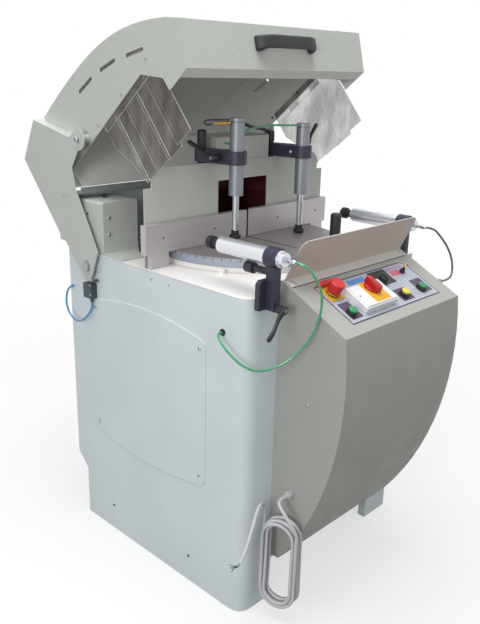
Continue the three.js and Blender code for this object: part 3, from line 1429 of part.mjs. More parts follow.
// A wound tube: rings of points square to the way, closed at both ends
function wound_tube(points, diameter, sides) {
  const path = points.map((p) => new THREE.Vector3(...p));
  const positions = [];
  const index = [];
  const side = new THREE.Vector3(hank_normal[0], hank_normal[1], 0);
  path.forEach((point, i) => {
    const before = path[Math.max(i - 1, 0)];
    const after = path[Math.min(i + 1, path.length - 1)];
    const tangent = after.clone().sub(before).normalize();
    const u = side.clone().addScaledVector(tangent, -side.dot(tangent)).normalize();
    const v = tangent.clone().cross(u);
    for (let k = 0; k < sides; k += 1) {
      const angle = 2 * Math.PI * k / sides;
      const ring = point.clone().addScaledVector(u, Math.cos(angle) * diameter / 2)
        .addScaledVector(v, Math.sin(angle) * diameter / 2);
      positions.push(...ring);
    }
  });
  for (let i = 0; i < path.length - 1; i += 1) {
    for (let k = 0; k < sides; k += 1) {
      const a = i * sides + k;
      const b = i * sides + (k + 1) % sides;
      index.push(a, b, b + sides, a, b + sides, a + sides);
    }
  }
  const last = (path.length - 1) * sides;
  for (let k = 1; k < sides - 1; k += 1) {
    index.push(0, k + 1, k);
    index.push(last, last + k, last + k + 1);
  }
  const geometry = new THREE.BufferGeometry();
  geometry.setAttribute('position', new THREE.Float32BufferAttribute(positions, 3));
  geometry.setIndex(index);
  return solid_of(geometry);
}

// Least gap of the hank to itself, between points at least half a turn apart
function least_gap(points, diameter) {
  const apart = hank_fold_steps + hank_run_steps;
  let least = Infinity;
  for (let i = 0; i < points.length; i += 1) {
    for (let j = i + apart; j < points.length - 1; j += 1) {
      const segment = new THREE.Line3(new THREE.Vector3(...points[j]), new THREE.Vector3(...points[j + 1]));
      const here = new THREE.Vector3(...points[i]);
      least = Math.min(least, segment.closestPointToPoint(here, true, new THREE.Vector3()).distanceTo(here));
    }
  }
  return least - diameter;
}
const hank_route = hank_points();
console.log(`hank: least gap to itself ${least_gap(hank_route, cable_diameter).toFixed(2)} mm`);
add(saw, 'cable_hank', wound_tube(hank_route, cable_diameter, hank_sides), paint('#c6c6c8'));

const hank_start = hank_route[0];
const hank_end = hank_route[hank_route.length - 1];
const lead_end = [hank_start[0], hank_start[1], hank_start[2] + gap];
const lead_start = [console_left - gap - gland_length - gap, gland_y, gland_z];
const lead_route = [lead_start, [77, -64, 361], [63, -70, 357], [56, -90, 344], [60, -112, 318],
  [lead_end[0] - gap, lead_end[1], 284], [lead_end[0], lead_end[1], 250], [lead_end[0], lead_end[1], 198], lead_end];
add(saw, 'cable_lead', cord(lead_route, cable_diameter, cable_sides, 20), paint('#c6c6c8'));

const tail_start = [hank_end[0], hank_end[1], hank_end[2] + gap];
const tail_route = [tail_start, [tail_start[0], tail_start[1], 215], [tail_start[0], tail_start[1], 262],
  [72, -15, 300], [60, -20, 332], [38, -28, 345], [14, -37, 334], [-8, -46, 310], [-30, -53, 281], [-50, -58, 256],
  [-67, -60, 238]];
add(saw, 'cable_tail', cord(tail_route, cable_diameter, cable_sides, 24), paint('#c6c6c8'));

// Air hoses
const left_fitting_end = left_side_front - side_barrel_length - side_cap_length - side_fitting_length - gap;
const placed = (points, x0, y0, z0) => points.map(([x, y, z]) => [x0 + x, y0 + y, z0 + z]);
const hose_left_route = [[left_side_x, left_fitting_end, side_axis_z], ...placed([
  [58, -98, 100], [66, -115, 93], [84, -130, 66], [97, -138, 32], [101, -138, -4], [98, -132, -42],
  [85, -115, -93], [62, -85, -138], [32, -54, -163], [3, -30, -169], [-18, -6, -158], [-30, 20, -138],
  [-31, 50, -118], [-24, 74, -104], [-12, 82, -100]
], 0, 0, cabinet_height), [-grommet_height - gap, grommet_y, grommet_z]];
add(saw, 'hose_left', cord(hose_left_route, hose_diameter, hose_sides, 40), paint('#2f8f5b'));

const right_fitting_end = right_side_front - side_barrel_length - side_cap_length - side_fitting_length - gap;
const hose_right_route = [[right_side_x, right_fitting_end, side_axis_z], ...placed([
  [-97, -81, 100], [-89, -88, 97], [-74, -93, 90], [-51, -102, 67], [-34, -114, 40], [-27, -127, 8],
  [-32, -136, -21], [-48, -142, -38], [-72, -144, -43], [-98, -143, -43]
], cabinet_width, 0, cabinet_height), [console_right + grommet_height + gap, console_grommet_y, console_grommet_z]];
add(saw, 'hose_right', cord(hose_right_route, hose_diameter, hose_sides, 24), paint('#1f5c43'));

const guard_front = plate_front + plate_sheet + gap;
const right_fitting_x = right_barrel_x - cap_radius - fitting_length - gap;
const right_fitting_z = right_barrel_bottom + barrel_length + cap_height / 2 + cap_groove / 2;
const hose_top_start = placed([[-71, 0, 274]], table_x, guard_front - gap, table_top);
const hose_top_route = [...hose_top_start, ...placed([
  [-71, 14, 274], [-69, -4, 284], [-55, -20, 303], [-23, -27, 316], [18, -30, 320], [59, -38, 323],
  [94, -56, 322.5]
], table_x, table_y, table_top), [right_fitting_x - fitting_length, barrel_y, right_fitting_z],
[right_fitting_x, barrel_y, right_fitting_z]];
add(saw, 'hose_top', cord(hose_top_route, hose_diameter, hose_sides, 16), paint('#2f8f5b'));

const valve_exit = [-valve_thickness / 2, valve_front + fitting_length, valve_bottom - fitting_length - gap];
const hose_blue_route = [valve_exit, ...placed([
  [-11, -80, -158], [-14, -78, -172], [-20, -68, -190], [-24, -45, -210], [-25, -12, -218],
  [-24, 19, -206], [-22, 38, -182], [-18, 43, -155], [-14, 36, -132], [-6, 32, -124], [2.7, 32, -124]
], 0, cabinet_depth, cabinet_height)];
add(saw, 'hose_blue', cord(hose_blue_route, hose_diameter, hose_sides, 24), paint('#2f6fb0'));

export default saw;
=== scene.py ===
# %% [markdown]
# # Single-head cut-off saw
# A pedestal saw: the blade waits inside the cabinet and rises through a slot in the turntable.
# The CAD model gives each solid its place and size. This script gives every solid its surface,
# adds the small hardware, and lays the cable and the air hoses over it. Lengths are in metres,
# in the CAD model's own frame: +Z up, the operator on the -Y side.

import json
import math

import bmesh
import bpy
import numpy as np
from mathutils import Matrix, Vector


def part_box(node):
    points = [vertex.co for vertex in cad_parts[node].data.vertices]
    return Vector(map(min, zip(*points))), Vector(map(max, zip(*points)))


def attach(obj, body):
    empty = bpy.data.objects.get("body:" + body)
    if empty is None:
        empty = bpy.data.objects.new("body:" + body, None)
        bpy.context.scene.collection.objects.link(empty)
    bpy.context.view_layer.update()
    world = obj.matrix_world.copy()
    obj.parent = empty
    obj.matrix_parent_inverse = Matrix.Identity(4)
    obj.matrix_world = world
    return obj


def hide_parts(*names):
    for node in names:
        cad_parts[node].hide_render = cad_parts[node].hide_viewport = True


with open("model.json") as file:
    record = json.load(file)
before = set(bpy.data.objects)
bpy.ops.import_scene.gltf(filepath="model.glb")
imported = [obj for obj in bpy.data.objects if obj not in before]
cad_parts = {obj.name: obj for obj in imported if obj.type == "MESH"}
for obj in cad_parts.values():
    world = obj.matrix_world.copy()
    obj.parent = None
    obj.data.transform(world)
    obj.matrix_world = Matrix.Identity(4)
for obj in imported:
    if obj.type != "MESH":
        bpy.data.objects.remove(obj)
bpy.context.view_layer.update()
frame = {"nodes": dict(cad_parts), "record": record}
body_of_node = {
    node: body for body, nodes in frame["record"]["behaviour"]["bodies"].items() for node in nodes
}

# %% [markdown]
# ## Places
# A workshop drawing of this saw would measure from the cabinet's front left floor corner, in
# millimetres. One function turns such a place into the frame's metres. Two more do the same for
# the sloping control face, whose places are across, up the slope and out of it, and for the hood.

# %% From drawing places to the frame
MM = 0.001
cabinet_corner = np.array([-0.373, -0.350, 0.0])
console_lip = np.array([0.0, -0.198, 0.8335])
console_slope = math.radians(26.53)
pivot = np.array([-0.373, 0.279, 0.862])
hood_open = math.radians(-40)
table_axis = np.array([-0.002, 0.010, 0.0])


def at(x, y, z):
    """A drawing place in mm, measured from the cabinet's corner, as metres in the frame."""
    return cabinet_corner + np.array([x, y, z]) * MM


def on_console(x, s, h):
    """Across the console, up its slope and out of it: y = s cos - h sin, z = s sin + h cos."""
    sine, cosine = math.sin(console_slope), math.cos(console_slope)
    return cabinet_corner + console_lip + np.array([x, s * cosine - h * sine, s * sine + h * cosine]) * MM


def on_hood(x, y, z):
    """A place on the hood, drawn closed and measured from its pivot, turned to where it stands open."""
    sine, cosine = math.sin(hood_open), math.cos(hood_open)
    return pivot + np.array([x, y * cosine - z * sine, y * sine + z * cosine]) * MM


console_foot = on_console(0, 0, 0)
face_up = on_console(0, 1000, 0) - console_foot
console_normal = on_console(0, 0, 1000) - console_foot
out_left, out_front, out_right = (-1, 0, 0), (0, -1, 0), (1, 0, 0)
print("console faces", np.round(console_normal, 3))

# %% [markdown]
# ## Shader helpers
# Colours are read off as sRGB hex values and turned to linear once. One small function adds a
# node with its options and its sockets, and the effects below are built from it: grain, tint,
# relief and uneven gloss.

# %% Colour and node helper


def linear(hex_colour):
    """An sRGB hex value as linear RGBA, by the standard curve."""
    parts = np.array([int(hex_colour[i : i + 2], 16) for i in (1, 3, 5)]) / 255
    curve = np.where(parts <= 0.04045, parts / 12.92, ((parts + 0.055) / 1.055) ** 2.4)
    return (*curve, 1.0)


def node(tree, kind, options=None, sockets=None):
    """Adds one shader node, sets its options, and fills or links its sockets by identifier."""
    made = tree.nodes.new(kind)
    for name, value in (options or {}).items():
        setattr(made, name, value)
    found = {socket.identifier: socket for socket in made.inputs}
    for name, value in (sockets or {}).items():
        if isinstance(value, bpy.types.NodeSocket):
            tree.links.new(value, found[name])
        else:
            found[name].default_value = value
    return made


# %% Effects on a surface


def grains(tree, size_mm, detail=2.0, stretch=(1, 1, 1)):
    """Noise on object coordinates whose grains are size_mm across; a small stretch draws them out."""
    place = node(tree, "ShaderNodeTexCoord").outputs["Object"]
    drawn = node(tree, "ShaderNodeMapping", {}, {"Vector": place, "Scale": stretch}).outputs[0]
    sockets = {"Vector": drawn, "Scale": 1 / (size_mm * MM), "Detail": detail}
    return node(tree, "ShaderNodeTexNoise", {}, sockets).outputs[0]


def ranged(tree, value, low, high, to_low=0.0, to_high=1.0):
    """Maps low..high of a value to another range, clamped."""
    sockets = {"Value": value, "From Min": low, "From Max": high, "To Min": to_low, "To Max": to_high}
    return node(tree, "ShaderNodeMapRange", {}, sockets).outputs[0]


def tint(tree, shader, dark, light, factor):
    """The base colour runs between two hex colours as factor runs from 0 to 1."""
    sockets = {"Factor_Float": factor, "A_Color": linear(dark), "B_Color": linear(light)}
    mixed = node(tree, "ShaderNodeMix", {"data_type": "RGBA"}, sockets)
    colour = next(socket for socket in mixed.outputs if socket.identifier == "Result_Color")
    tree.links.new(colour, shader.inputs["Base Color"])


def relief(tree, shader, height, depth_mm):
    """Bumps the surface by depth_mm where height is 1."""
    bump = node(tree, "ShaderNodeBump", {}, {"Height": height, "Distance": depth_mm * MM, "Strength": 1.0})
    tree.links.new(bump.outputs[0], shader.inputs["Normal"])


def uneven_gloss(tree, shader, factor, low, high):
    """Roughness wanders between two values with factor."""
    tree.links.new(ranged(tree, factor, 0.3, 0.7, low, high), shader.inputs["Roughness"])


def every(tree, value, pitch, share):
    """1 inside lines that come once a pitch and take a share of it: frac(v / pitch) < share."""
    for operation, number in (("DIVIDE", pitch), ("FRACT", 0), ("LESS_THAN", share)):
        sockets = {"Value": value, "Value_001": number}
        value = node(tree, "ShaderNodeMath", {"operation": operation}, sockets).outputs[0]
    return value


def material(name, colour, roughness, metallic=0.0, **sockets):
    """A material with one principled shader; further sockets are given by name."""
    made = bpy.data.materials.new(name)
    made.use_nodes = True
    shader = made.node_tree.nodes["Principled BSDF"]
    shader.inputs["Base Color"].default_value = linear(colour)
    shader.inputs["Roughness"].default_value = roughness
    shader.inputs["Metallic"].default_value = metallic
    for socket, value in sockets.items():
        shader.inputs[socket.replace("_", " ")].default_value = value
    return made, made.node_tree, shader


# %% [markdown]
# ## Powder coats
# The cabinet, the hood and the console are folded sheet with a baked powder coat. Powder melts
# into a skin with an orange-peel relief a millimetre or two across. The hood's coat is a
# structured one, whose grains are drawn a little coarser than they are, so that they show.

# %% Cabinet: smooth pale powder coat


def smooth_powder_coat(name, dark, light, patch_mm=240, sheen_mm=60, peel_mm=3.5, peel_depth_mm=0.05):
    """Pale coat that wanders a little in tone from patch to patch, with a soft orange peel."""
    made, tree, shader = material(name, light, 0.42)
    tint(tree, shader, dark, light, ranged(tree, grains(tree, patch_mm, 3), 0.35, 0.65))
    uneven_gloss(tree, shader, grains(tree, sheen_mm), 0.38, 0.5)
    relief(tree, shader, grains(tree, peel_mm, 1), peel_depth_mm)
    return made


cabinet_coat = smooth_powder_coat("smooth_powder_coat", "#d4dee2", "#dce5e8")
# the top plate's coat is a lighter, warmer white than the sides': painted light, for the light that falls
# on the top from above
top_coat_painted_lighter = smooth_powder_coat("painted_light_top_powder_coat", "#eae8e6", "#f2f0ee")
print("made", cabinet_coat.name, top_coat_painted_lighter.name)

# %% Hood, arms, console and guard: structured powder coat


def structured_powder_coat(name, dark, light, grain_mm=2.6, sheen_mm=80, grain_depth_mm=0.12):
    """Matt coat with a raised grain, whose hollows are painted a little darker as painted shade."""
    made, tree, shader = material(name, light, 0.6)
    # real grains are about 0.8 mm: they are drawn three times coarser so that a pixel can hold one
    grain = grains(tree, grain_mm, 3)
    # painted shade: the grain's hollows take the darker colour
    tint(tree, shader, dark, light, ranged(tree, grain, 0.38, 0.62))
    uneven_gloss(tree, shader, grains(tree, sheen_mm), 0.52, 0.66)
    relief(tree, shader, grain, grain_depth_mm)
    return made


hood_coat = structured_powder_coat("structured_powder_coat", "#bbbfba", "#c8ccc6")
console_coat = structured_powder_coat("console_powder_coat", "#a3a49e", "#aeafa9", 2.2)
deflector_coat = structured_powder_coat("deflector_powder_coat", "#cbbdb6", "#d6cac3", 2.2)
flange_coat = structured_powder_coat("flange_powder_coat", "#cfcdc7", "#d9d7d1", 2.2)
guard_coat = structured_powder_coat("guard_powder_coat", "#3a0f18", "#571422")
# the hood's inner faces have the same coat as its outside, drawn paler: painted light inside the hood
inner_coat_painted_lighter = structured_powder_coat("painted_light_inner_powder_coat", "#e2e5e0", "#eceeea")
print("made", hood_coat.name, console_coat.name, deflector_coat.name, guard_coat.name)

# %% [markdown]
# ## Metals
# Each metal keeps the mark of how it was cut: the fence was milled along its length, the table
# was ground, the cylinders are drawn tube with a clear or grey anodised skin. The marks are
# stretched noise, so they run one way only.

# %% Milled, drawn and ground metal


def cut_metal(name, dark, light, roughness, stretch, mark_mm, metallic, depth_mm=0.02):
    """Bare metal with fine marks drawn out along one axis by a small stretch there."""
    made, tree, shader = material(name, light, roughness, metallic)
    marks = grains(tree, mark_mm, 3, stretch)
    tint(tree, shader, dark, light, ranged(tree, marks, 0.3, 0.7))
    uneven_gloss(tree, shader, marks, roughness - 0.06, roughness + 0.08)
    relief(tree, shader, marks, depth_mm)
    return made


milled_aluminium = cut_metal("milled_aluminium", "#b9b5b5", "#c3c0c0", 0.44, (0.02, 1, 1), 2.4, 0.5)
drawn_aluminium = cut_metal("drawn_aluminium", "#dfe2e8", "#e6e8ee", 0.3, (1, 0.02, 1), 3.0, 0.8, 0.004)
grey_anodised = cut_metal("grey_anodised", "#85898f", "#8e9298", 0.42, (1, 1, 0.03), 1.5, 0.55, 0.008)
ground_steel = cut_metal("ground_steel", "#86807f", "#918c8e", 0.4, (0.05, 1, 1), 2.0, 0.4)
bright_steel = cut_metal("bright_steel", "#b9bcc4", "#c6c9d0", 0.22, (1, 1, 0.1), 3.0, 0.95, 0.004)
blade_steel = cut_metal("blade_steel", "#9b9c9e", "#acadaf", 0.3, (1, 0.3, 0.3), 2.0, 0.9)
zinc_plate = cut_metal("zinc_plate", "#9a9ca0", "#b4b6ba", 0.35, (1, 1, 1), 2.0, 0.8)
brass = cut_metal("brass", "#b08a48", "#c9a560", 0.3, (1, 1, 1), 2.0, 0.9)
cast_iron = cut_metal("cast_iron_paint", "#4a4d50", "#5c5f62", 0.6, (1, 1, 1), 2.5, 0.2)
print("made the metals")

# %% Degree scale printed on the turntable's rim


def scale_rim(pitch=math.radians(5), line_share=0.08, line_length=9 * MM):
    """A satin band with a short line at every pitch of the angle atan2(y, x) about the table's axis."""
    made, tree, shader = material("printed_aluminium_scale", "#98a0ad", 0.4, 0.35)
    place = node(tree, "ShaderNodeTexCoord").outputs["Object"]
    centred = node(tree, "ShaderNodeMapping", {}, {"Vector": place, "Location": -table_axis}).outputs[0]
    x, y, z = node(tree, "ShaderNodeSeparateXYZ", {}, {"Vector": centred}).outputs
    angle = node(tree, "ShaderNodeMath", {"operation": "ARCTAN2"}, {"Value": y, "Value_001": x}).outputs[0]
    # real lines are about 0.4 mm wide: they are drawn 2 mm wide so that a pixel can hold one
    lines = every(tree, angle, pitch, line_share)
    sockets = {"Value": z, "Value_001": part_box("turntable")[1][2] - line_length}
    upper = node(tree, "ShaderNodeMath", {"operation": "GREATER_THAN"}, sockets).outputs[0]
    sockets = {"Value": lines, "Value_001": upper}
    short = node(tree, "ShaderNodeMath", {"operation": "MULTIPLY"}, sockets).outputs[0]
    tint(tree, shader, "#98a0ad", "#454a54", short)
    return made


scale_band = scale_rim()
print("made", scale_band.name)

# %% Dark anodised clamp brackets


def dark_anodised_finish():
    """Blue-black anodised casting, a little cloudy."""
    made, tree, shader = material("dark_anodised_bracket", "#32323f", 0.45, 0.25)
    tint(tree, shader, "#2b2a38", "#3e3f50", ranged(tree, grains(tree, 6, 3), 0.3, 0.7))
    relief(tree, shader, grains(tree, 2.0), 0.03)
    return made


bracket_finish = dark_anodised_finish()
print("made", bracket_finish.name)

# %% [markdown]
# ## Plastics, rubber and hoses
# Levers and grips are glass-filled nylon with a fine eroded skin, buttons and the switch are
# glossier polycarbonate, the pads are rubber, and the strips of the curtain are clear PVC with painted
# reflections, whose edges carry a painted highlight. Hoses are polyurethane with a wet shine.

# %% Moulded plastics and rubber


def moulded(name, colour, roughness, skin_mm=1.8, depth_mm=0.03, **sockets):
    """A plain colour under the fine skin that the mould was eroded with."""
    made, tree, shader = material(name, colour, roughness, 0.0, **sockets)
    relief(tree, shader, grains(tree, skin_mm), depth_mm)
    uneven_gloss(tree, shader, grains(tree, 12), roughness - 0.05, roughness + 0.07)
    return made


black_nylon = moulded("black_nylon", "#232228", 0.4)
grip_nylon = moulded("ribbed_grip_nylon", "#26292a", 0.5, 2.2, 0.06)
slate_nylon = moulded("slate_nylon", "#39424d", 0.45)
pale_nylon = moulded("pale_nylon", "#b7b3b9", 0.45)
black_rubber = moulded("black_rubber", "#1b1a1f", 0.6, 2.4, 0.06)
grey_rubber = moulded("grey_rubber", "#8b908c", 0.6, 2.4, 0.06)
red_plastic = moulded("red_polycarbonate", "#cf2a2c", 0.32)
dark_red_plastic = moulded("dark_red_polycarbonate", "#ae151c", 0.26)
green_plastic = moulded("green_polycarbonate", "#2f8f5c", 0.3)
yellow_plastic = moulded("yellow_polycarbonate", "#d9cf52", 0.3)
yellow_plate = moulded("yellow_plate", "#e0a922", 0.42)
white_plastic = moulded("white_abs", "#e6e7ea", 0.4)
cable_sheath = moulded("cable_sheath", "#c9c9cc", 0.5)
green_hose, dark_green_hose, blue_hose = (
    moulded(name + "_polyurethane", colour, 0.25, 2.0, 0.0, Coat_Weight=0.3)
    for name, colour in (("green", "#3f9f70"), ("dark_green", "#2b5543"), ("blue", "#3b86bd"))
)
print("made the plastics")

# %% Clear strip


def clear_pvc():
    """Soft PVC with ripples that break up its reflections; its brown to grey patches are painted
    reflections.
    """
    made, tree, shader = material("clear_pvc", "#75685f", 0.08, 0.0, IOR=1.5)
    # painted reflections: long patches of dark brown and pale grey, the pale ones more see-through
    painted_reflections = ranged(tree, grains(tree, 45, 3, (1, 1, 0.4)), 0.35, 0.7)
    tint(tree, shader, "#4e3d36", "#8d8782", painted_reflections)
    tree.links.new(ranged(tree, painted_reflections, 0.0, 1.0, 0.42, 0.2), shader.inputs["Alpha"])
    relief(tree, shader, grains(tree, 60), 0.3)
    return made


clear_strip = clear_pvc()
# painted highlight: a cut edge of clear sheet gathers the light that enters the faces, so it is painted as
# a pale line
strip_edge_highlight = material("painted_highlight_on_cut_edge_of_clear_pvc", "#f6f8f7", 0.3, Alpha=0.95)[0]
print("made", clear_strip.name, strip_edge_highlight.name)

# %% [markdown]
# ## Mesh helpers
# Most new pieces are a stack of closed rings: a turned knob, a lofted grip and a thin plate all
# are. `skin` joins such a stack with quads and closes both ends. Flats are kept flat by weighted
# normals, and a small bevel gives every edge the radius that a real one has.

# %% Finishing a piece


def finish(piece, materials, body, edge=0.0, stands_for=(), smooth_degrees=32):
    """Gives a piece its materials, eased edges and smooth shading, and lets it ride on a body."""
    for one in materials:
        piece.data.materials.append(one)
    piece.data.polygons.foreach_set("use_smooth", np.ones(len(piece.data.polygons), bool))
    piece.data.set_sharp_from_angle(angle=math.radians(smooth_degrees))
    if edge:
        bevel = piece.modifiers.new("eased_edges", "BEVEL")
        bevel.width = edge
        bevel.segments = 2
        bevel.limit_method = "ANGLE"
        bevel.angle_limit = math.radians(smooth_degrees)
    normals = piece.modifiers.new("flat_flats", "WEIGHTED_NORMAL")
    normals.keep_sharp = True
    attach(piece, body)
    if stands_for:
        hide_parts(*stands_for)
    return piece


def piece_from(name, points, faces):
    """A new object from an (n, 3) array of points and a list of faces."""
    mesh = bpy.data.meshes.new(name)
    mesh.from_pydata(np.asarray(points).reshape(-1, 3).tolist(), [], faces)
    mesh.validate()
    shape = bmesh.new()
    shape.from_mesh(mesh)
    bmesh.ops.remove_doubles(shape, verts=shape.verts, dist=1e-7)
    bmesh.ops.recalc_face_normals(shape, faces=shape.faces)
    shape.to_mesh(mesh)
    shape.free()
    made = bpy.data.objects.new(name, mesh)
    bpy.context.scene.collection.objects.link(made)
    return made


# %% Rings joined into a skin


def skin_faces(rows, sides, first):
    """Quads between neighbouring rings of one stack, and an n-gon over each end."""
    row, side = np.meshgrid(np.arange(rows - 1), np.arange(sides), indexing="ij")
    here = first + row * sides + side
    along = first + row * sides + (side + 1) % sides
    quads = np.stack([here, along, along + sides, here + sides], axis=-1).reshape(-1, 4).tolist()
    start = list(range(first + sides - 1, first - 1, -1))
    end = list(range(first + (rows - 1) * sides, first + rows * sides))
    return quads + [start, end]


def skin(name, stacks):
    """One object from stacks of rings, each an array of shape (rings, points, 3)."""
    points, faces, first = [], [], 0
    for rings in stacks:
        rows, sides = rings.shape[:2]
        points.append(rings.reshape(-1, 3))
        faces += skin_faces(rows, sides, first)
        first += rows * sides
    return piece_from(name, np.concatenate(points), faces)


def add(name, stacks, look, body="cabinet", edge=0.0, stands_for=(), smooth_degrees=32):
    """A finished piece from stacks of rings, in one material."""
    return finish(skin(name, stacks), [look], body, edge, stands_for, smooth_degrees)


def revolved(profile, sides=40, hexagons=()):
    """Surface of revolution: (r, h) in mm becomes (r cos a, r sin a, h) for every angle a. The rings
    named in hexagons have r cos(30) / cos(angle to the nearest flat's middle) in place of r."""
    profile = np.array(profile, float)
    angle = np.arange(sides) * 2 * np.pi / sides
    r, h = profile[:, :1] * np.ones(sides), profile[:, 1:] * np.ones(sides)
    for ring in hexagons:
        r[ring] *= math.cos(math.pi / 6) / np.cos((angle + np.pi / 6) % (np.pi / 3) - np.pi / 6)
    return np.stack([r * np.cos(angle), r * np.sin(angle), h], axis=-1) * MM


def stood(rings, base, axis):
    """Stands rings drawn about +Z on base, along axis."""
    lay = np.array(Vector(axis).to_track_quat("Z", "Y").to_matrix())
    return rings @ lay.T + np.asarray(base)


# %% Thin plates


def rounded_box(left, low, right, high, radius, steps=5):
    """Outline of a rectangle whose corners are quarter circles: c + r (cos a, sin a) in each corner."""
    quarter = np.linspace(0, np.pi / 2, steps)
    middles = [(right - radius, high - radius), (left + radius, high - radius),
               (left + radius, low + radius), (right - radius, low + radius)]
    arcs = []
    for i, middle in enumerate(middles):
        angle = quarter + i * np.pi / 2
        arcs.append(middle + radius * np.column_stack([np.cos(angle), np.sin(angle)]))
    return np.concatenate(arcs)


def extruded(outline, *levels):
    """Rings of an outline at (height, shrink) levels: each point goes to m + (p - m)(1 - shrink)."""
    outline = np.asarray(outline, float)
    middle = outline.mean(axis=0)
    rings = [np.column_stack([middle + (outline - middle) * (1 - shrink), np.full(len(outline), height)])
             for height, shrink in levels]
    return np.array(rings)


def laid(rings, origin=console_foot):
    """Lays rings drawn in mm, as across, up and out, on the console's face: origin + x a + y u + z n."""
    return origin + rings @ np.array([out_right, face_up, console_normal]) * MM


# %% Screws


def screw(place, axis, radius, height=None):
    """Button head with a hexagon socket, as the rings of a turned profile."""
    height = height or radius * 0.55
    dome = [(1, 0), (1, 0.3), (0.93, 0.62), (0.78, 0.9), (0.64, 1)]
    socket = [(0.5, 1), (0.5, 0.4)]
    profile = [(radius * r, height * h) for r, h in dome + socket]
    return stood(revolved(profile, 24, (5, 6)), place, axis)


def screws(name, places, axis, radius, body="cabinet", look=zinc_plate, height=None):
    """One object that holds a set of equal screws, all along one axis."""
    heads = [screw(place, axis, radius, height) for place in places]
    return add(name, heads, look, body, smooth_degrees=40)


# %% Paths and tubes


def eased_path(points, per_span):
    """Centripetal Catmull-Rom curve through points, the same curve that the CAD cord follows. Four
    points are blended in pairs down to one: (kb - t) / (kb - ka) p + (t - ka) / (kb - ka) q."""
    p = np.asarray(points, float)
    p = np.concatenate([2 * p[:1] - p[1:2], p, 2 * p[-1:] - p[-2:-1]])
    knot = np.concatenate([[0], np.cumsum(np.linalg.norm(np.diff(p, axis=0), axis=1) ** 0.5)])
    curve = []
    for i in range(1, len(p) - 2):
        row, k = p[i - 1 : i + 3], knot[i - 1 : i + 3]
        t = np.linspace(k[1], k[2], per_span, endpoint=False)[:, None]
        for spans in ((0, 1), (1, 2), (2, 3)), ((0, 2), (1, 3)), ((1, 2),):
            row = [(k[b] - t) / (k[b] - k[a]) * row[j] + (t - k[a]) / (k[b] - k[a]) * row[j + 1]
                   for j, (a, b) in enumerate(spans)]
        curve += row
    return np.concatenate([*curve, p[-2:-1]])


def tube(path, radius, sides, flatten=1.0, side_first=(1, 0, 0), square=1.0):
    """Rings square to a path; the section's frame is carried along it without twist. Each ring is
    c + r (u C + f v S), where u and v span the plane square to the path and C and S are cos a and
    sin a to the power square, with their signs: 1 is an ellipse, and less is squarer."""
    path = np.asarray(path, float)
    along = np.gradient(path, axis=0)
    along /= np.linalg.norm(along, axis=1, keepdims=True)
    radius = np.broadcast_to(np.asarray(radius, float), len(path))
    u = np.asarray(side_first, float)
    angle = np.arange(sides) * 2 * np.pi / sides
    c, s = (np.sign(wave) * np.abs(wave) ** square for wave in (np.cos(angle), np.sin(angle)))
    rings = np.empty((len(path), sides, 3))
    for i, (centre, tangent) in enumerate(zip(path, along)):
        u = u - tangent * (u @ tangent)
        if np.linalg.norm(u) < 1e-6:
            u = np.cross(tangent, (0.3, 0.5, 0.8))
        u /= np.linalg.norm(u)
        v = np.cross(tangent, u)
        rings[i] = centre + radius[i] * (np.outer(c, u) + flatten * np.outer(s, v))
    return rings


def length_of(path):
    """Sum of the distances between neighbouring points."""
    return float(np.linalg.norm(np.diff(path, axis=0), axis=1).sum())


# %% A CAD solid with eased edges


def without(mesh, cutter):
    """The mesh less the volume of a closed cutter, which is used up."""
    whole = bpy.data.objects.new("whole", mesh)
    bpy.context.scene.collection.objects.link(whole)
    cut = whole.modifiers.new("cut", "BOOLEAN")
    cut.object, cut.operation, cut.solver = cutter, "DIFFERENCE", "EXACT"
    evaluated = whole.evaluated_get(bpy.context.evaluated_depsgraph_get())
    left_over = bpy.data.meshes.new_from_object(evaluated)
    for one in (whole, cutter):
        bpy.data.objects.remove(one)
    return left_over


def eased(node_name, materials, edge, parts=None, smooth_degrees=32, cutter=None):
    """A copy of a CAD solid, merged and with its flats joined, that stands for it. parts maps the
    faces' centres c and normals n, as arrays of x, y and z rows in metres, to the index of each
    face's material, and a cutter is a closed piece whose volume is taken out."""
    mesh = frame["nodes"][node_name].data.copy()
    mesh.materials.clear()
    shape = bmesh.new()
    shape.from_mesh(mesh)
    bmesh.ops.remove_doubles(shape, verts=shape.verts, dist=2e-6)
    if parts is not None:
        shape.normal_update()
        c = np.array([face.calc_center_median() for face in shape.faces]).T
        n = np.array([face.normal for face in shape.faces]).T
        for face, index in zip(shape.faces, parts(c, n).astype(int).tolist()):
            face.material_index = index
    bmesh.ops.dissolve_limit(
        shape, angle_limit=math.radians(0.6), verts=shape.verts, edges=shape.edges,
        use_dissolve_boundaries=False, delimit={"MATERIAL"},
    )
    shape.to_mesh(mesh)
    shape.free()
    if cutter is not None:
        mesh = without(mesh, cutter)
    index = np.empty(len(mesh.polygons), np.int32)
    mesh.polygons.foreach_get("material_index", index)
    piece = bpy.data.objects.new(node_name + "_surface", mesh)
    bpy.context.scene.collection.objects.link(piece)
    finish(piece, materials, body_of_node[node_name], edge, [node_name], smooth_degrees)
    if parts is not None:
        mesh.polygons.foreach_set("material_index", index)
    return piece


def dress(names, materials, edge_mm, *how):
    """Gives each CAD solid in a list of names, split by spaces, the same surface."""
    for name in names.split():
        eased(name, materials, edge_mm * MM, *how)


# %% [markdown]
# ## Camera, floor and light
# The camera stands where the photograph's was: it was solved from the saw's straight edges. The
# floor and the world show white to the camera and in reflections, and the floor keeps the saw's
# shadow. Two large soft lamps and the world light the saw at a plain level.

# %% Camera
camera_place = (-1.5648, -1.4667, 1.4149)
camera_azimuth, camera_elevation, camera_roll = (math.radians(a) for a in (-46.213, 18.381, -1.399))
lens = bpy.data.cameras.new("photo_camera")
lens.sensor_width = 36
lens.lens = 42.242
lens.clip_start = 0.05
lens.clip_end = 60
camera = bpy.data.objects.new("photo_camera", lens)
bpy.context.scene.collection.objects.link(camera)
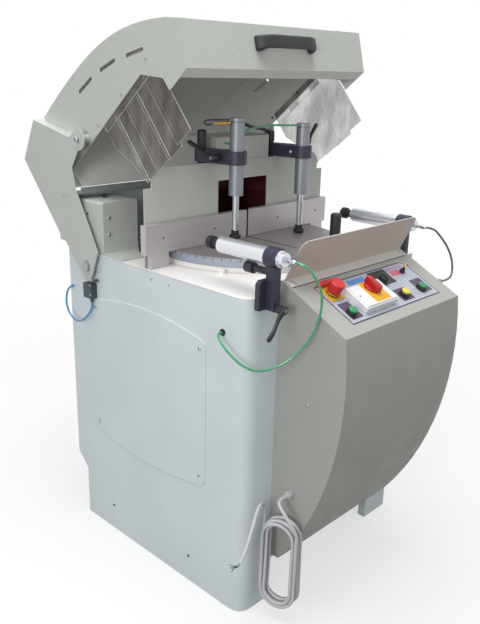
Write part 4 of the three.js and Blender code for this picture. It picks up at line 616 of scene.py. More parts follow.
# an unturned camera looks down: it is rolled, tipped up to the horizon less its elevation, and turned
camera.matrix_world = (
    Matrix.Translation(camera_place)
    @ Matrix.Rotation(camera_azimuth, 4, "Z")
    @ Matrix.Rotation(math.pi / 2 - camera_elevation, 4, "X")
    @ Matrix.Rotation(-camera_roll, 4, "Z")
)
bpy.context.scene.camera = camera
print("camera looks along", [round(-v, 3) for v in camera.matrix_world.col[2][:3]])

# %% Lamps


def soft_lamp(name, place, target, size, watts):
    """A square area lamp that faces its target."""
    data = bpy.data.lights.new(name, "AREA")
    data.size = size
    data.energy = watts
    lamp = bpy.data.objects.new(name, data)
    lamp.location = place
    lamp.rotation_euler = (Vector(target) - Vector(place)).to_track_quat("-Z", "Y").to_euler()
    bpy.context.scene.collection.objects.link(lamp)
    return lamp


lamps = [
    soft_lamp("window_lamp", (-3.5, -1.5, 1.7), (0, 0, 1.0), 1.2, 46),
    soft_lamp("ceiling_lamp", (-0.4, -0.1, 4.2), (0, 0, 0.9), 2.4, 98),
]
print("lamps", [(lamp.name, lamp.data.energy) for lamp in lamps])

# %% World and floor


def emptied(made):
    """The node tree of a new world or material, without the nodes that it comes with."""
    made.use_nodes = True
    made.node_tree.nodes.clear()
    return made.node_tree


def mixed(tree, share, one, other):
    """One shader where share is 0 and the other where it is 1."""
    sockets = {"Fac": share, "Shader": one.outputs[0], "Shader_001": other.outputs[0]}
    return node(tree, "ShaderNodeMixShader", {}, sockets)


def white_where_seen(tree, plain, white):
    """Mixes a plain shader with a white one for camera, glossy and transmission rays."""
    path = node(tree, "ShaderNodeLightPath")
    seen = path.outputs["Is Camera Ray"]
    for ray in ("Is Glossy Ray", "Is Transmission Ray"):
        sockets = {"Value": seen, "Value_001": path.outputs[ray]}
        seen = node(tree, "ShaderNodeMath", {"operation": "MAXIMUM"}, sockets).outputs[0]
    return mixed(tree, seen, plain, white)


sky_strength = 0.56
world = bpy.data.worlds.new("studio")
bpy.context.scene.world = world
sky = emptied(world)
dim_sky, white_sky = (
    node(sky, "ShaderNodeBackground", {}, {"Color": linear("#ffffff"), "Strength": strength})
    for strength in (sky_strength, 1.0)
)
sky_output = node(sky, "ShaderNodeOutputWorld")
sky.links.new(white_where_seen(sky, dim_sky, white_sky).outputs[0], sky_output.inputs["Surface"])


def studio_floor(near=0.9, far=2.6, near_glow=0.62):
    """Pale paper that takes the shadow near the saw and turns to plain white between near and far."""
    made = bpy.data.materials.new("studio_floor")
    tree = emptied(made)
    place = node(tree, "ShaderNodeTexCoord").outputs["Object"]
    away = node(tree, "ShaderNodeVectorMath", {"operation": "LENGTH"}, {"Vector": place}).outputs["Value"]
    share = ranged(tree, away, near, far, near_glow, 1.0)
    paper = node(tree, "ShaderNodeBsdfDiffuse", {}, {"Color": linear("#f4f4f4")})
    glow = node(tree, "ShaderNodeEmission", {}, {"Color": linear("#ffffff"), "Strength": 1.0})
    half = mixed(tree, share, paper, glow)
    # a workshop floor sends back little light, so the saw's lower parts stay in shade
    dark_paper = node(tree, "ShaderNodeBsdfDiffuse", {}, {"Color": linear("#747474")})
    output = node(tree, "ShaderNodeOutputMaterial")
    tree.links.new(white_where_seen(tree, dark_paper, half).outputs[0], output.inputs["Surface"])
    return made


reach, floor_drop = 14.0, 0.5 * MM
corners = [(-reach, -reach, 0), (reach, -reach, 0), (reach, reach, 0), (-reach, reach, 0)]
floor = piece_from("floor", corners, [[0, 1, 2, 3]])
floor.data.transform(Matrix.Translation((0, 0, -floor_drop)))
floor.data.materials.append(studio_floor())
bpy.context.scene.view_settings.view_transform = "Standard"
print("floor and world made")

# %% [markdown]
# ## Mains cable
# The saw came with its mains cable wound into a hank that hangs from the gland on the console's
# left wall; the free end is stripped to its cores. The whole cable is one tube: its lead, the
# hank's loops and its tail follow the same places as the CAD solids. The loops spiral in and out
# again in four layers, a cable's thickness apart.

# %% The hank's loops
hank_centre = np.array([0.072, -0.072, 0.174])
hank_turn = math.radians(15)
hank_half_width, hank_half_height = 0.051, 0.131
hank_pitch = 0.0099
hank_layers, hank_turns_per_layer, hank_turns = 4, 1.5, 6.5
fold_steps, run_steps = 9, 3
climb_share = 0.1


def hank_route():
    """Loops with straight runs and round folds: the radius falls and rises by one pitch a turn,
    and each layer lies one pitch further out along the hank's normal."""
    per_turn = 2 * (fold_steps + run_steps)
    half_run = hank_half_height - hank_half_width
    i = np.arange(round(hank_turns * per_turn) + 1)
    turn = i / per_turn
    layer = np.minimum(turn // hank_turns_per_layer, hank_layers - 1)
    within = turn - layer * hank_turns_per_layer
    inward = np.where(layer % 2 == 0, within, hank_turns_per_layer - within)
    radius = hank_half_width - hank_pitch * inward
    climbs = [(turn - k * hank_turns_per_layer) / climb_share / 2 + 0.5 for k in range(1, hank_layers)]
    n = (np.clip(climbs, 0, 1).sum(axis=0) - (hank_layers - 1) / 2) * hank_pitch
    step = (i + run_steps / 2) % per_turn
    side = np.where(step < per_turn / 2, 1, -1)
    local = step % (per_turn / 2)
    angle = np.pi * np.clip(local - run_steps, 0, None) / fold_steps
    on_run = local <= run_steps
    u = np.where(on_run, side * radius, side * radius * np.cos(angle))
    straight = side * half_run * (1 - 2 * local / run_steps)
    w = np.where(on_run, straight, -side * (half_run + radius * np.sin(angle)))
    normal = np.array([math.cos(hank_turn), math.sin(hank_turn), 0])
    across = np.array([math.sin(hank_turn), -math.cos(hank_turn), 0])
    points = hank_centre + np.outer(u, across) + np.outer(n, normal)
    points[:, 2] += w
    return points + cabinet_corner


hank = hank_route()
print("hank points", len(hank), "length", round(length_of(hank), 3))

# %% The whole cable
cable_diameter = 0.009
(start_x, start_y), (end_x, end_y) = (hank[[0, -1]] - cabinet_corner)[:, :2] / MM
lead = [
    (88.4, -64, 361), (77, -64, 361), (63, -70, 357), (56, -90, 344), (60, -112, 318),
    (start_x - 0.3, start_y, 284), (start_x, start_y, 250), (start_x, start_y, 198),
]
tail = [
    (end_x, end_y, 215), (end_x, end_y, 262), (72, -15, 300), (60, -20, 332), (38, -28, 345),
    (14, -37, 334), (-8, -46, 310), (-30, -53, 281), (-50, -58, 256), (-67, -60, 238),
]
cable_path = eased_path([*(at(*place) for place in lead), *hank, *(at(*place) for place in tail)], 4)
cable = add("mains_cable", [tube(cable_path, cable_diameter / 2, 12)], cable_sheath,
            stands_for=["cable_lead", "cable_hank", "cable_tail"])

# %% Stripped cores on the cable's end
core_radius = 0.0012
core_colours = [("brown_core", "#6b3f26"), ("blue_core", "#3a5fa0"), ("green_yellow_core", "#8a9a3a")]
for index, (name, colour) in enumerate(core_colours):
    fan = (index - 1) * 0.004
    steps = [(0, 0, 0), (-0.008, 0, fan / 2 - 0.004), (-0.02, 0.003, fan - 0.002),
             (-0.032, 0.002 + fan, 0.002 + 2 * fan)]
    path = eased_path(cable_path[-1] + np.array(steps), 6)
    add(name, [tube(path, core_radius, 8)], moulded(name + "_pvc", colour, 0.45))

# %% [markdown]
# ## Air hoses
# Each cylinder is fed by a polyurethane hose pushed into a fitting. The hoses leave their
# fittings straight and hang in open loops, and they follow the CAD solids' own points.

# %% Hoses
hose_diameter = 0.006
hose_routes = {
    "hose_left": [
        (57, -86.3, 1000), (58, -98, 1000), (66, -115, 993), (84, -130, 966), (97, -138, 932),
        (101, -138, 896), (98, -132, 858), (85, -115, 807), (62, -85, 762), (32, -54, 737), (3, -30, 731),
        (-18, -6, 742), (-30, 20, 762), (-31, 50, 782), (-24, 74, 796), (-12, 82, 800), (-3.3, 82, 800),
    ],
    "hose_right": [
        (649, -61.3, 1000), (649, -81, 1000), (657, -88, 997), (672, -93, 990), (695, -102, 967),
        (712, -114, 940), (719, -127, 908), (714, -136, 879), (698, -142, 862), (674, -144, 857),
        (648, -143, 857), (636.3, -143, 857),
    ],
    "hose_blue": [
        (-11, 620, 752.7), (-11, 620, 742), (-14, 622, 728), (-20, 632, 710), (-24, 655, 690),
        (-25, 688, 682), (-24, 719, 694), (-22, 738, 718), (-18, 743, 745), (-14, 736, 768),
        (-6, 732, 776), (2.7, 732, 776),
    ],
    "hose_top": [
        (300, 387, 1214), (300, 374, 1214), (302, 356, 1224), (316, 340, 1243), (348, 333, 1256),
        (389, 330, 1260), (430, 322, 1263), (465, 304, 1262.5), (488, 294, 1262.5), (500.2, 294, 1262.5),
    ],
}


hose_looks = (green_hose, dark_green_hose, blue_hose, green_hose)
for (name, places), look in zip(hose_routes.items(), hose_looks):
    path = eased_path([at(*place) for place in places], 6)
    hose = add(name + "_tube", [tube(path, hose_diameter / 2, 10)], look, stands_for=[name])
    print(name, round(length_of(path), 3), "m")

# %% [markdown]
# ## Every CAD solid gets its surface
# A CAD solid has the right shape but sharp edges. Each one is copied, its flats are joined, its
# edges are eased, and it takes the finish of the real piece. Where one solid carries a second
# piece, such as a rubber bumper, a rule on its faces' centres c and normals n tells them apart.

# %% Cabinet
panel_face, bumper_rear, base_top, box_top = 0.3735, 0.185, 0.907, 1.0515
dress("base_frame", [cabinet_coat], 0.8)
# the top plate's lighter coat is painted light from above
dress("top_plate", [top_coat_painted_lighter], 0.8)
dress("rear_cover", [cabinet_coat], 0.8)
dress("access_cover", [cabinet_coat], 1.2)
# outside each side panel's sheet are the steel of the hood's pivot and, in front, a hose's grommet
dress("left_side_panel right_side_panel", [cabinet_coat, zinc_plate, black_rubber], 0.8,
      lambda c, n: (abs(c[0]) > panel_face) * np.where(c[1] > 0, 1, 2))
dress("rear_wall", [cabinet_coat], 0.5)
# each hinge box has a rubber bumper on its base and a plug on top
dress("hinge_box_left hinge_box_right", [hood_coat, black_rubber], 0.8,
      lambda c, n: (c[1] < bumper_rear) & (c[2] > base_top) | (c[2] > box_top))
print("cabinet dressed")

# %% Console, with its bezels and the key switch, and the deflector
bezels_low, bezels_reach, grommet_face = 0.84, 0.2, 0.2605
# black are the grommet on the right and, near the controls, what stands out of the sloping face
dress("console_shell", [console_coat, black_nylon], 0.8,
      lambda c, n: (console_normal @ (c - console_foot[:, None]) > 0.3 * MM)
      & (c[2] > bezels_low) & (abs(c[0]) < bezels_reach) | (c[0] > grommet_face))
# the flange lies along the sloping face, and the plate stands upright
dress("deflector", [deflector_coat, flange_coat], 0.5, lambda c, n: abs(console_normal @ n) > 0.98)
print("console dressed")

# %% [markdown]
# ## Printed film and plates on the control face
# The controls stand on a printed polycarbonate film: a dark outline round a pale blue-grey field
# of fine lines, with plain patches under and between the controls. Each patch is an outline on the
# sloping face, given across and up the slope, and extruded by a few tenths of a millimetre.

# %% Films


def ruled_film(pitch=4.8 * MM, line_share=0.4):
    """Pale film with fine lines across it, one at every pitch along the slope."""
    made, tree, shader = material("ruled_polycarbonate_film", "#b9bfcc", 0.35)
    place = node(tree, "ShaderNodeTexCoord").outputs["Object"]
    slope = (0, math.cos(console_slope), math.sin(console_slope))
    sockets = {"Vector": place, "Vector_001": slope}
    along = node(tree, "ShaderNodeVectorMath", {"operation": "DOT_PRODUCT"}, sockets).outputs["Value"]
    # real lines are about 2 mm apart: they are drawn every 4.8 mm so that a pixel can hold one
    tint(tree, shader, "#ccd0da", "#7a839c", every(tree, along, pitch, line_share))
    return made


film_colours = {
    "outline": "#3d4050", "violet": "#4d4059", "blue": "#5f8fca", "rose": "#c9606f",
    "mauve": "#ab93ad", "black": "#2a2b2d",
}
films = {name: moulded(name + "_film", colour, 0.35, depth_mm=0.0) for name, colour in film_colours.items()}
films["ruled"] = ruled_film()
print("films", list(films))

# %% Film, patches and plates


def plate(name, box, radius, low, high, look, edge=0.0):
    """A plate on the sloping face from its left, low, right and high sides, between two heights."""
    rings = extruded(rounded_box(*box, radius), (low, 0), (high, 0))
    return add(name, [laid(rings)], look, edge=edge)


film_corners = [(183, 27), (576, 27), (576, 148), (560, 163), (183, 163)]
border_corners = [(179.5, 23.5), (579.5, 23.5), (579.5, 149.6), (561.6, 166.5), (179.5, 166.5)]
add("film_border", [laid(extruded(border_corners, (0.02, 0), (0.25, 0)))], films["outline"])
add("ruled_film", [laid(extruded(film_corners, (0.1, 0), (0.4, 0)))], films["ruled"])
patches = {
    "left_start_patch": ((194, 37, 237, 94), "violet"),
    "reset_patch": ((420, 36, 472, 82), "violet"),
    "right_start_patch": ((516, 42, 567, 94), "violet"),
    "selector_patch": ((396, 104, 472, 160), "black"),
    "blue_patch": ((298, 137, 372, 155), "blue"),
    "rose_patch": ((482, 125, 522, 142), "rose"),
    "upper_patch": ((474, 145, 553, 158), "mauve"),
}
for index, (name, (box, look)) in enumerate(patches.items()):
    plate(name, box, 1.5, 0.3, 0.5 + index * 0.03, films[look])
plate("estop_plate", (190, 106, 241, 161), 3, 0.3, 1.6, yellow_plate, 0.4 * MM)
plate("estop_guard", (192, 156, 262, 169), 4, 0.3, 13, red_plastic, 1.2 * MM)
# painted shadow: a thin dark strip along the deflector flange's lower edge, in the outline film's colour
flange_foot = (-8 - console_lip[1] / MM) / math.cos(console_slope) - 28
plate("flange_shadow", (117, flange_foot - 1.8, 622, flange_foot - 0.2), 0.3, 0.02, 0.3, films["outline"])
lid_height = 22
plate("switch_plate", (293, 48, 357, 120), 3, lid_height + 0.02, lid_height + 0.26, yellow_plate)
for name, x, s in (("upper_lid_screw", 303, 98.5), ("lower_lid_screw", 260, 81.6)):
    add(name, [screw(on_console(x, s, lid_height), console_normal, 2.6, 0.5)], films["outline"])
print("film and", len(patches), "patches laid")

# %% Key in the key switch
key_middle = on_console(529, 130, 0)
bow_turn = np.linspace(0, 2 * np.pi, 29)
bow = np.column_stack([7.5 * np.cos(bow_turn), np.zeros(29), 23 + 6.5 * np.sin(bow_turn)])
bow_rings = tube(bow, 1.8, 10, 0.5, (0, 1, 0))
shank_rings = extruded(rounded_box(-2.6, -0.9, 2.6, 0.9, 0.6, 3), (4, 0), (17.5, 0))
add("key", [laid(bow_rings, key_middle), laid(shank_rings, key_middle)], brass, smooth_degrees=50)
print("key made")

# %% [markdown]
# ## Table, saw unit, hood and clamps
# These solids are dressed as the cabinet was. The table's rim carries the scale, the chute is dark
# red inside, the hood's inner side is painted paler as painted light, and rods end in rubber pads.

# %% Table, fence and guard
rim_radius, guard_top, chute_front, chute_high = 0.2815, 1.09, 0.05, 1.2
# the scale band runs round the table's upright rim
dress("turntable", [ground_steel, scale_band], 0.6,
      lambda c, n: (np.hypot(*(c - table_axis[:, None])[:2]) > rim_radius) & (abs(n[2]) < 0.5), 20)
dress("fence_left fence_right", [milled_aluminium], 0.8)
dress("back_plate", [hood_coat], 0.5)
# over the guard, the chute's outer sides, front and top have the hood's coat
dress("blade_guard", [guard_coat, hood_coat], 0.5,
      lambda c, n: (c[2] > guard_top) & ((n[0] * c[0] > 0.05) | (n[1] < -0.5) & (c[1] < chute_front)
                                         | (n[2] > 0.5) & (c[2] > chute_high)))
dress("table_handle", [grip_nylon], 2)
print("table dressed")

# %% Saw unit
dress("saw_hanger", [cast_iron], 1)
dress("saw_arm", [cast_iron], 2)
dress("saw_blade", [blade_steel], 0.3)
print("saw unit dressed")

# %% Hood
# the flange under the hood's front is 34 mm deep: the solid's goes back as far as the cheeks do
flange_section = [(-624, 166), (-570, 166), (-570, 173), (-624, 173)]
flange_rings = [[on_hood(x, y, z) for y, z in flange_section] for x in (19.02, 726.98)]
flange_cutter = skin("flange_cutter", [np.array(flange_rings)])
hood_middle = on_hood(373, -330, 90)[:, None]
lobe_face = 0.3915
# the faces that look at the hood's middle are painted paler than its outside: painted light inside the hood
dress("hood_shell", [hood_coat, inner_coat_painted_lighter], 0.6,
      lambda c, n: np.sum(n * (hood_middle - c), axis=0) > 0.002, 24, flange_cutter)
# a bolt's head stands out of each arm's sheet at its lobe
dress("hood_arm_left hood_arm_right", [hood_coat, zinc_plate], 0.8, lambda c, n: abs(c[0]) > lobe_face)
print("hood dressed")

# %% Clamps
post_top, bar_rear, bar_top = 1.2032, -0.3495, 0.9785
barrel_left, barrel_right, barrel_height, fitting_radius = -0.316, 0.276, 1.0, 8 * MM
top_pad_depth, side_pad_depth = 24.5 * MM, 36.5 * MM
# the left post has a knob on its top
dress("clamp_post_left", [bracket_finish, black_nylon], 1, lambda c, n: c[2] > post_top)
dress("clamp_post_right", [bracket_finish], 1)
dress("clamp_arm_left clamp_arm_right", [bracket_finish], 1.2)
# behind each bracket's bar are a ribbed knob and its shaft
dress("side_clamp_left side_clamp_right", [bracket_finish, black_nylon], 1,
      lambda c, n: (c[1] > bar_rear) & (c[2] < bar_top))
dress("top_barrel_left top_barrel_right", [grey_anodised], 0.8)
# each nickelled fitting lies nearer to its cylinder's axis than the tube's skin does
dress("side_barrel_left side_barrel_right", [drawn_aluminium, zinc_plate], 0.8,
      lambda c, n: np.hypot(np.minimum(abs(c[0] - barrel_left), abs(c[0] - barrel_right)),
                            c[2] - barrel_height) < fitting_radius)
# each rod ends in a rubber pad
dress("top_rod_left top_rod_right", [bright_steel, black_rubber], 0.8,
      lambda c, n: c[2] < c[2].min() + top_pad_depth)
dress("side_rod_left side_rod_right", [bright_steel, black_rubber], 1,
      lambda c, n: c[1] > c[1].max() - side_pad_depth)
print("clamps dressed")

# %% [markdown]
# ## Clamping levers
# Each clamp is locked by an adjustable lever: a moulded hub turns on a steel insert, and an arm
# leaves it with a slight S bend, waists in and ends in a flat paddle for the thumb. The hub is
# turned and the arm is an oval carried along a curve, so both follow from a few radii.

# %% Levers
arm_share = [0, 0.12, 0.45, 0.8, 0.96, 1.0, 1.02, 1.04]
arm_radius = [8.5, 7.6, 5.0, 6.4, 6.3, 5.6, 4.2, 1.6]


def lever(name, body, hub_from, hub_to, root, tip, bow, stands_for=None):
    """Hub turned about its axis, and an arm whose radius r(t) waists between its root and its paddle.
    It stands for the solid that its body is named after, unless another list is given."""
    hub_from, hub_to, root, tip = (at(*place) for place in (hub_from, hub_to, root, tip))
    axis = hub_to - hub_from
    long = np.linalg.norm(axis) / MM
    hub = [(8.2, 0), (8.2, 3), (10.9, 3.6), (11, long * 0.55), (10.4, long - 3), (8.6, long - 0.6),
           (5.4, long)]
    insert = [(4.6, long - 2), (4.6, long + 0.4), (3.8, long + 0.9), (2.2, long + 0.9), (2.0, long - 0.6)]
    t = np.linspace(0, 1, 26)[:, None]
    middle = root + (tip - root) * t + np.asarray(bow) * MM * np.sin(2 * np.pi * t)
    end = (tip - root) / np.linalg.norm(tip - root)
    middle = np.concatenate([middle, tip + end * np.array([[2.2], [3.6]]) * MM])
    radius = np.interp([*t[:, 0], 1.02, 1.04], arm_share, arm_radius) * MM
    arm = tube(middle, radius, 16, 0.72, np.cross(axis, end), 0.85)
    stands_for = [body] if stands_for is None else stands_for
    add(name, [stood(revolved(hub, 28), hub_from, axis), arm], black_nylon, body, 0.3 * MM, stands_for, 40)
    cap = stood(revolved(insert, 20), hub_from, axis)
    add(name + "_screw", [cap], zinc_plate, body, smooth_degrees=40)


# the ends of the hub's axis, the arm's root and tip, and how far the arm bows, in mm
lever("left_side_lever", "side_lever_left",
      (56, -40.3, 879), (56, -70.3, 879), (56, -63, 879), (-8, -74.3, 823), (0, 2, 0))
lever("right_side_lever", "side_lever_right",
      (645, -22.3, 879), (645, -52.3, 879), (645, -45, 879), (709, -56.3, 823), (0, 2, 0))
lever("left_top_lever", "top_lever_left",
      (216.1, 328, 1185), (186.1, 328, 1185), (192.1, 328, 1185), (180, 408, 1222), (-2, 0, 0))
lever("right_top_lever", "top_lever_right",
      (514, 406, 1203.6), (514, 406, 1239.6), (514, 406, 1233), (392, 398, 1262), (0, 0, 2))
lever("barrel_lever", "clamp_arm_right",
      (549, 296, 1214), (564, 296, 1214), (557, 296, 1214), (586, 290, 1262), (0, 0, 0), [])
print("levers made")

# %% [markdown]
# ## Hood handle
# A moulded bridge handle: thick feet on the hood's front panel, a slimmer grip between them. Its
# section is a rounded rectangle, which the power in `tube` gives, carried along an arched path.

# %% Handle
panel_low, panel_high = np.array([-658.0, 168.0]), np.array([-707.0, 271.0])
panel_up = (panel_high - panel_low) / np.linalg.norm(panel_high - panel_low)
panel_out = np.array([-panel_up[1], panel_up[0]])
handle_middle, handle_height = 379, 227
handle_seat = panel_low + panel_up * (handle_height - panel_low[1]) / panel_up[1] + panel_out * 0.4


def on_panel(x, out):
    """A place on the hood's front panel at the handle's height: x from the middle, out of the sheet."""
    return on_hood(handle_middle + x, *(handle_seat + panel_out * out))


half_path = [(-105, 0.2), (-104, 8), (-99, 17), (-88, 24), (-70, 27.6), (-38, 28.2)]
arch = half_path + [(0, 28.2)] + [(-x, out) for x, out in reversed(half_path)]
grip_path = eased_path([on_panel(x, out) for x, out in arch], 5)
share = np.abs(np.linspace(-1, 1, len(grip_path)))
grip_size = np.interp(share, [0, 0.5, 0.75, 1], [16.2, 16.4, 18.6, 20]) * MM
panel_up_in_frame = on_hood(0, *(panel_low + panel_up)) - on_hood(0, *panel_low)
grip_rings = tube(grip_path, grip_size, 24, 0.56, panel_up_in_frame, 0.5)
add("bridge_handle", [grip_rings], grip_nylon, "hood", 0, ["hood_handle"], 50)
print("handle made")

# %% [markdown]
# ## Controls and fittings
# Buttons and knobs are turned pieces that stand on the sloping face. Each one is a (radius, height)
# profile in millimetres; the two switches have a bar grip on top of theirs.

# %% Push buttons
dress("switch_box", [white_plastic], 1.5)


def turned(name, x, s, profile, look, body="cabinet", stands_for=(), grip=()):
    """A turned piece at a place on the sloping face, with the rings of a grip if it has one."""
    rings = stood(revolved(profile), on_console(x, s, 0), console_normal)
    return add(name, [rings, *grip], look, body, 0, stands_for, 50)


estop_place = (217, 131)
# the palm button is a cup: its skirt reaches down round the fixed collar
palm_cup = [(4, -8), (7.9, -8), (7.9, 22), (17.2, 22), (17.2, 11.3), (17.8, 10.8), (18.5, 11.3), (18.7, 20),
            (19.4, 25), (20, 28), (20, 33.6), (19.5, 35.4), (18, 36.8), (15.5, 37.4), (9, 37.0), (4, 36.8)]
nut = [(16.2, 1.7), (17.6, 1.7), (17.9, 2.2), (17.9, 3.8), (17.4, 4.2), (16.2, 4.2)]
ring = [(16.2, 4.3), (16.8, 4.3), (17.0, 4.6), (17.0, 7.2), (16.8, 7.5), (16.2, 7.5)]
turned("palm_button", *estop_place, palm_cup, red_plastic, "estop_button", ["estop_button"])
turned("collar_nut", *estop_place, nut, black_nylon)
turned("collar_ring", *estop_place, ring, yellow_plate)
push_head = [(4, -8), (10.4, -8), (10.4, 12.6), (12.3, 12.9), (12.6, 13.6), (12.3, 15), (11.2, 16.1),
             (8.5, 16.8), (4, 17)]
push_up_slope = 57
push_looks = {
    "start_button_left": green_plastic, "reset_button": yellow_plastic, "start_button_right": green_plastic,
}
for name, look in push_looks.items():
    low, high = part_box(name)
    middle = ((low[0] + high[0]) / 2 - cabinet_corner[0]) / MM
    turned(name + "_head", middle, push_up_slope, push_head, look, body_of_node[name], [name])
print("push buttons made")

# %% Rotary switches


def bar_grip(x, s, wide, long, bottom, top):
    """A grip's rings: a stadium that leans in by 4% and whose top edge is rounded over 3 mm."""
    outline = rounded_box(x - wide / 2, s - long / 2, x + wide / 2, s + long / 2, wide / 2 - 0.1, 8)
    edge = ((top - 4, 0.04), (top - 2, 0.07), (top - 0.8, 0.11), (top, 0.2))
    return laid(extruded(outline, (bottom, 0), *edge))


switch_disc = [(4, 22.3), (22, 22.3), (22.3, 23), (22.3, 27), (21.4, 28.8), (19.4, 29.6), (4, 29.8)]
turned("switch_knob", 325, 96, switch_disc, dark_red_plastic, "main_switch", ["main_switch"],
       [bar_grip(325, 96, 17, 54, 27, 44)])
selector_disc = [(4, 0.6), (15, 0.6), (15, 5.4), (14.4, 6.4), (12.9, 6.8), (12.9, 7.4), (12.6, 16.5),
                 (11.6, 18.4), (9, 19), (4, 19)]
turned("selector_knob", 419, 118, selector_disc, black_nylon, "mode_selector", ["mode_selector"],
       [bar_grip(419, 118, 8, 25, 12, 22)])
print("rotary switches made")

# %% Valve, gland and clear strips
dress("limit_valve", [slate_nylon], 1)
dress("cable_gland", [pale_nylon], 0.8)
# the strips' cut edges face along the machine, and carry the painted highlight
dress("curtain_left curtain_right", [clear_strip, strip_edge_highlight], 0, lambda c, n: abs(n[0]) < 0.5)
print("fittings and curtains dressed")

# %% [markdown]
# ## Ears, pivot ends and rear seal of the hood
# Between each arm and the hood an ear carries the rear sheet on, the arms end in a round eye at
# their pivot, and a rubber lip on the rear wall closes the slit under the raised hood. The lip's
# top stays inside the circle that the hood's lower edge draws, so the hood passes over it.

# %% Ears, eyes and seal
ear = [(-93, 206), (-85.2, 306), (-87.7, 306), (-95.5, 206)]
eye = [(14, 0), (33.8, 0), (34.4, 0.6), (34.4, 2.8), (33.8, 3.3), (14, 3.3)]
for side, ends in (("left", (-15.2, 15.9)), ("right", (730.1, 761.2))):
    rings = np.array([[on_hood(x, y, z) for y, z in ear] for x in ends])
    add(side + "_hood_ear", [rings], hood_coat, "hood")
for side, face, axis in (("left", -14.9, out_left), ("right", 760.9, out_right)):
    add(side + "_arm_eye", [stood(revolved(eye, 64), at(face, 629, 862), axis)], hood_coat, "hood")
lip = [(699, 1066.2), (699, 1068.6), (656, 1068.6), (654, 1070.5), (653.4, 1085.0), (650.6, 1085.0),
       (650, 1066.2)]
seal_rings = np.array([[at(x, y, z) for y, z in lip] for x in (-11, 757)])
add("rear_seal", [seal_rings], grey_rubber, edge=0.6 * MM)
print("ears, eyes and seal made")

# %% [markdown]
# ## Screws and rivets
# What holds the sheets together is small but tells how the saw is made: zinc plated button heads
# on the covers, rivets along the hood's edge and through its cheeks, and socket screws in the
# clamps. They are all one turned shape, set out from lists of places.

# %% Screws of the cabinet
cover_corners = ((614, 736), (163, 734), (616, 365), (163, 366))
screws("cover_screws", [at(-2.7, y, z) for y, z in cover_corners], out_left, 5.2)
screws("side_screws", [at(0.1, 356, 876), at(0.1, 285, 876)], out_left, 3.6)
screws("side_plugs", [at(0.1, 561, 84), at(0.1, 208, 82)], out_left, 4.5, "cabinet", black_rubber, 1.0)
screws("console_side_screws", [at(113.1, -104, 630)], out_left, 5)
screws("hinge_box_screws", [at(x, 566.1, z) for x in (20, 726) for z in (1007, 959)], out_front, 6)
screws("hinge_box_plugs", [at(0.1, 639, 1011)], out_left, 3.5, "cabinet", black_rubber, 0.8)
flange_holes = ((134.4, 201), (136.8, 192), (612, 201), (614, 192))
screws("deflector_screws", [on_console(x, s, 2.0) for x, s in flange_holes], console_normal, 3.4)
print("cabinet's screws set")

# %% Rivets and bolts of the hood
hood_left, hood_right, hood_sheet = 16, 730, 2.5
hood_up = on_hood(0, -0.78, 0.62) - on_hood(0, 0, 0)


def hood_screws(name, places, axis, radius, look=zinc_plate):
    """Screws at places in mm on the closed hood."""
    screws(name, [on_hood(*place) for place in places], axis, radius, "hood", look)


for name, x, axis, look in (
    ("left_cheek_rivets", hood_left + 0.1, out_left, zinc_plate),
    ("right_cheek_rivets", hood_right - 0.1, out_right, zinc_plate),
    ("right_rail_screws", hood_right - hood_sheet + 0.1, out_left, films["outline"]),
):
    hood_screws(name, [(x, -555, 280), (x, -419, 280), (x, -283, 281.5)], axis, 4.4, look)
hood_screws("crown_rivets", [(x, -664, 310) for x in (85, 290, 510, 700)], hood_up, 5)
hood_screws("arm_rivets", [(-17.9, -44.7, 212)], out_left, 5.5)
hood_screws("lobe_bolts", [(-22.8, -216.5, 284)], out_left, 8.2)
hood_screws("right_lobe_bolts", [(768.8, -216.5, 284), (763.9, -44.7, 212)], out_right, 6)
print("hood's rivets set")

# %% Screws of the clamps and the valve
screws("right_arm_screw", [at(484, 300, 1187)], (-0.55, -0.83, 0), 4.6, "clamp_arm_right")
screws("valve_screws", [at(-21.9, 611, 806), at(-21.9, 611, 778)], out_left, 3)
print("clamps' screws set")

# %% [markdown]
# ## Couplings and slot lips
# The hoses are pushed into couplings, and a short rigid pipe joins two brass ones on the left
# vertical cylinder. Each slot in the hood's cheeks was cut on three sides, and its lip was bent in.

# %% Couplings and the short pipe


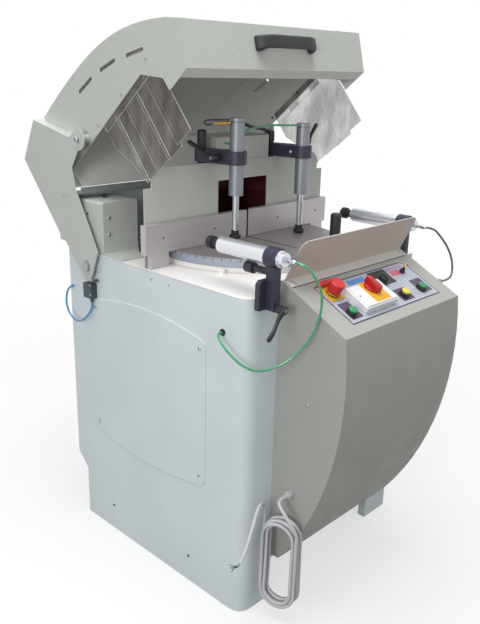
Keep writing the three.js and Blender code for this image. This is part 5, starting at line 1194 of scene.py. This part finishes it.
def coupling(name, place, axis, length, body, look, radius=6.5):
    """A hexagonal nut, a neck and a round collar, turned about the hose's axis."""
    profile = [(0.93, 0), (1.06, 0.03), (1.06, 0.3), (0.95, 0.34), (0.62, 0.36), (0.62, 0.5), (0.95, 0.54),
               (0.95, 0.84), (0.7, 0.9), (0.62, 1.0)]
    rings = revolved([(radius * r, length * h) for r, h in profile], 24, (1, 2))
    return add(name, [stood(rings, place, axis)], look, body, smooth_degrees=40)


coupling("left_coupling", at(57, -60, 1000), out_front, 32, "cabinet", bright_steel)
coupling("right_coupling", at(649, -38, 1000), out_front, 38, "cabinet", bright_steel)
coupling("top_left_coupling", at(222.5, 294, 1278), out_left, 30, "clamp_arm_left", brass, 4.6)
coupling("top_left_elbow", at(193, 294, 1278), out_left, 34, "clamp_arm_left", brass, 4.0)
pipe_radius, pipe_y = 2.2 * MM, 294
pipe_places = [(160, 1277), (146, 1276), (135, 1277.5), (131, 1282), (136, 1286.5), (150, 1287.5),
               (190, 1287), (226, 1286)]
pipe_path = eased_path([at(x, pipe_y, z) for x, z in pipe_places], 6)
add("short_pipe", [tube(pipe_path, pipe_radius, 10)], black_nylon, "clamp_arm_left")
print("couplings made")

# %% Bent lips behind the hood's slots
# each slot's middle, its length and its tilt in degrees, then the lip's section: (into the hood, rise)
hood_slots = [((-304.5, 396), 78, 7), ((-419, 370), 76, 18), ((-529, 320), 72, 26.6)]
lip_section = [(-0.4, 0), (9, 8), (9.8, 7), (0.4, -1)]
for side, sheet, inward in (("left", hood_left + hood_sheet, 1), ("right", hood_right - hood_sheet, -1)):
    for number, (middle, length, tilt) in enumerate(hood_slots):
        along = np.array([math.cos(math.radians(tilt)), math.sin(math.radians(tilt))])
        up = np.array([-along[1], along[0]])
        foot = np.array(middle) - up * 5.5
        half = along * (length / 2 - 4)
        rings = [[on_hood(sheet + inward * depth, *(end + up * rise)) for depth, rise in lip_section]
                 for end in (foot - half, foot + half)]
        add("%s_slot_lip_%d" % (side, number + 1), [np.array(rings)], hood_coat, "hood")
print("slot lips made")

# %% [markdown]
# ## Finish
# The view layer is brought up to date. The dressed saw has to stay in the CAD model's box.

# %% Finish
bpy.context.view_layer.update()
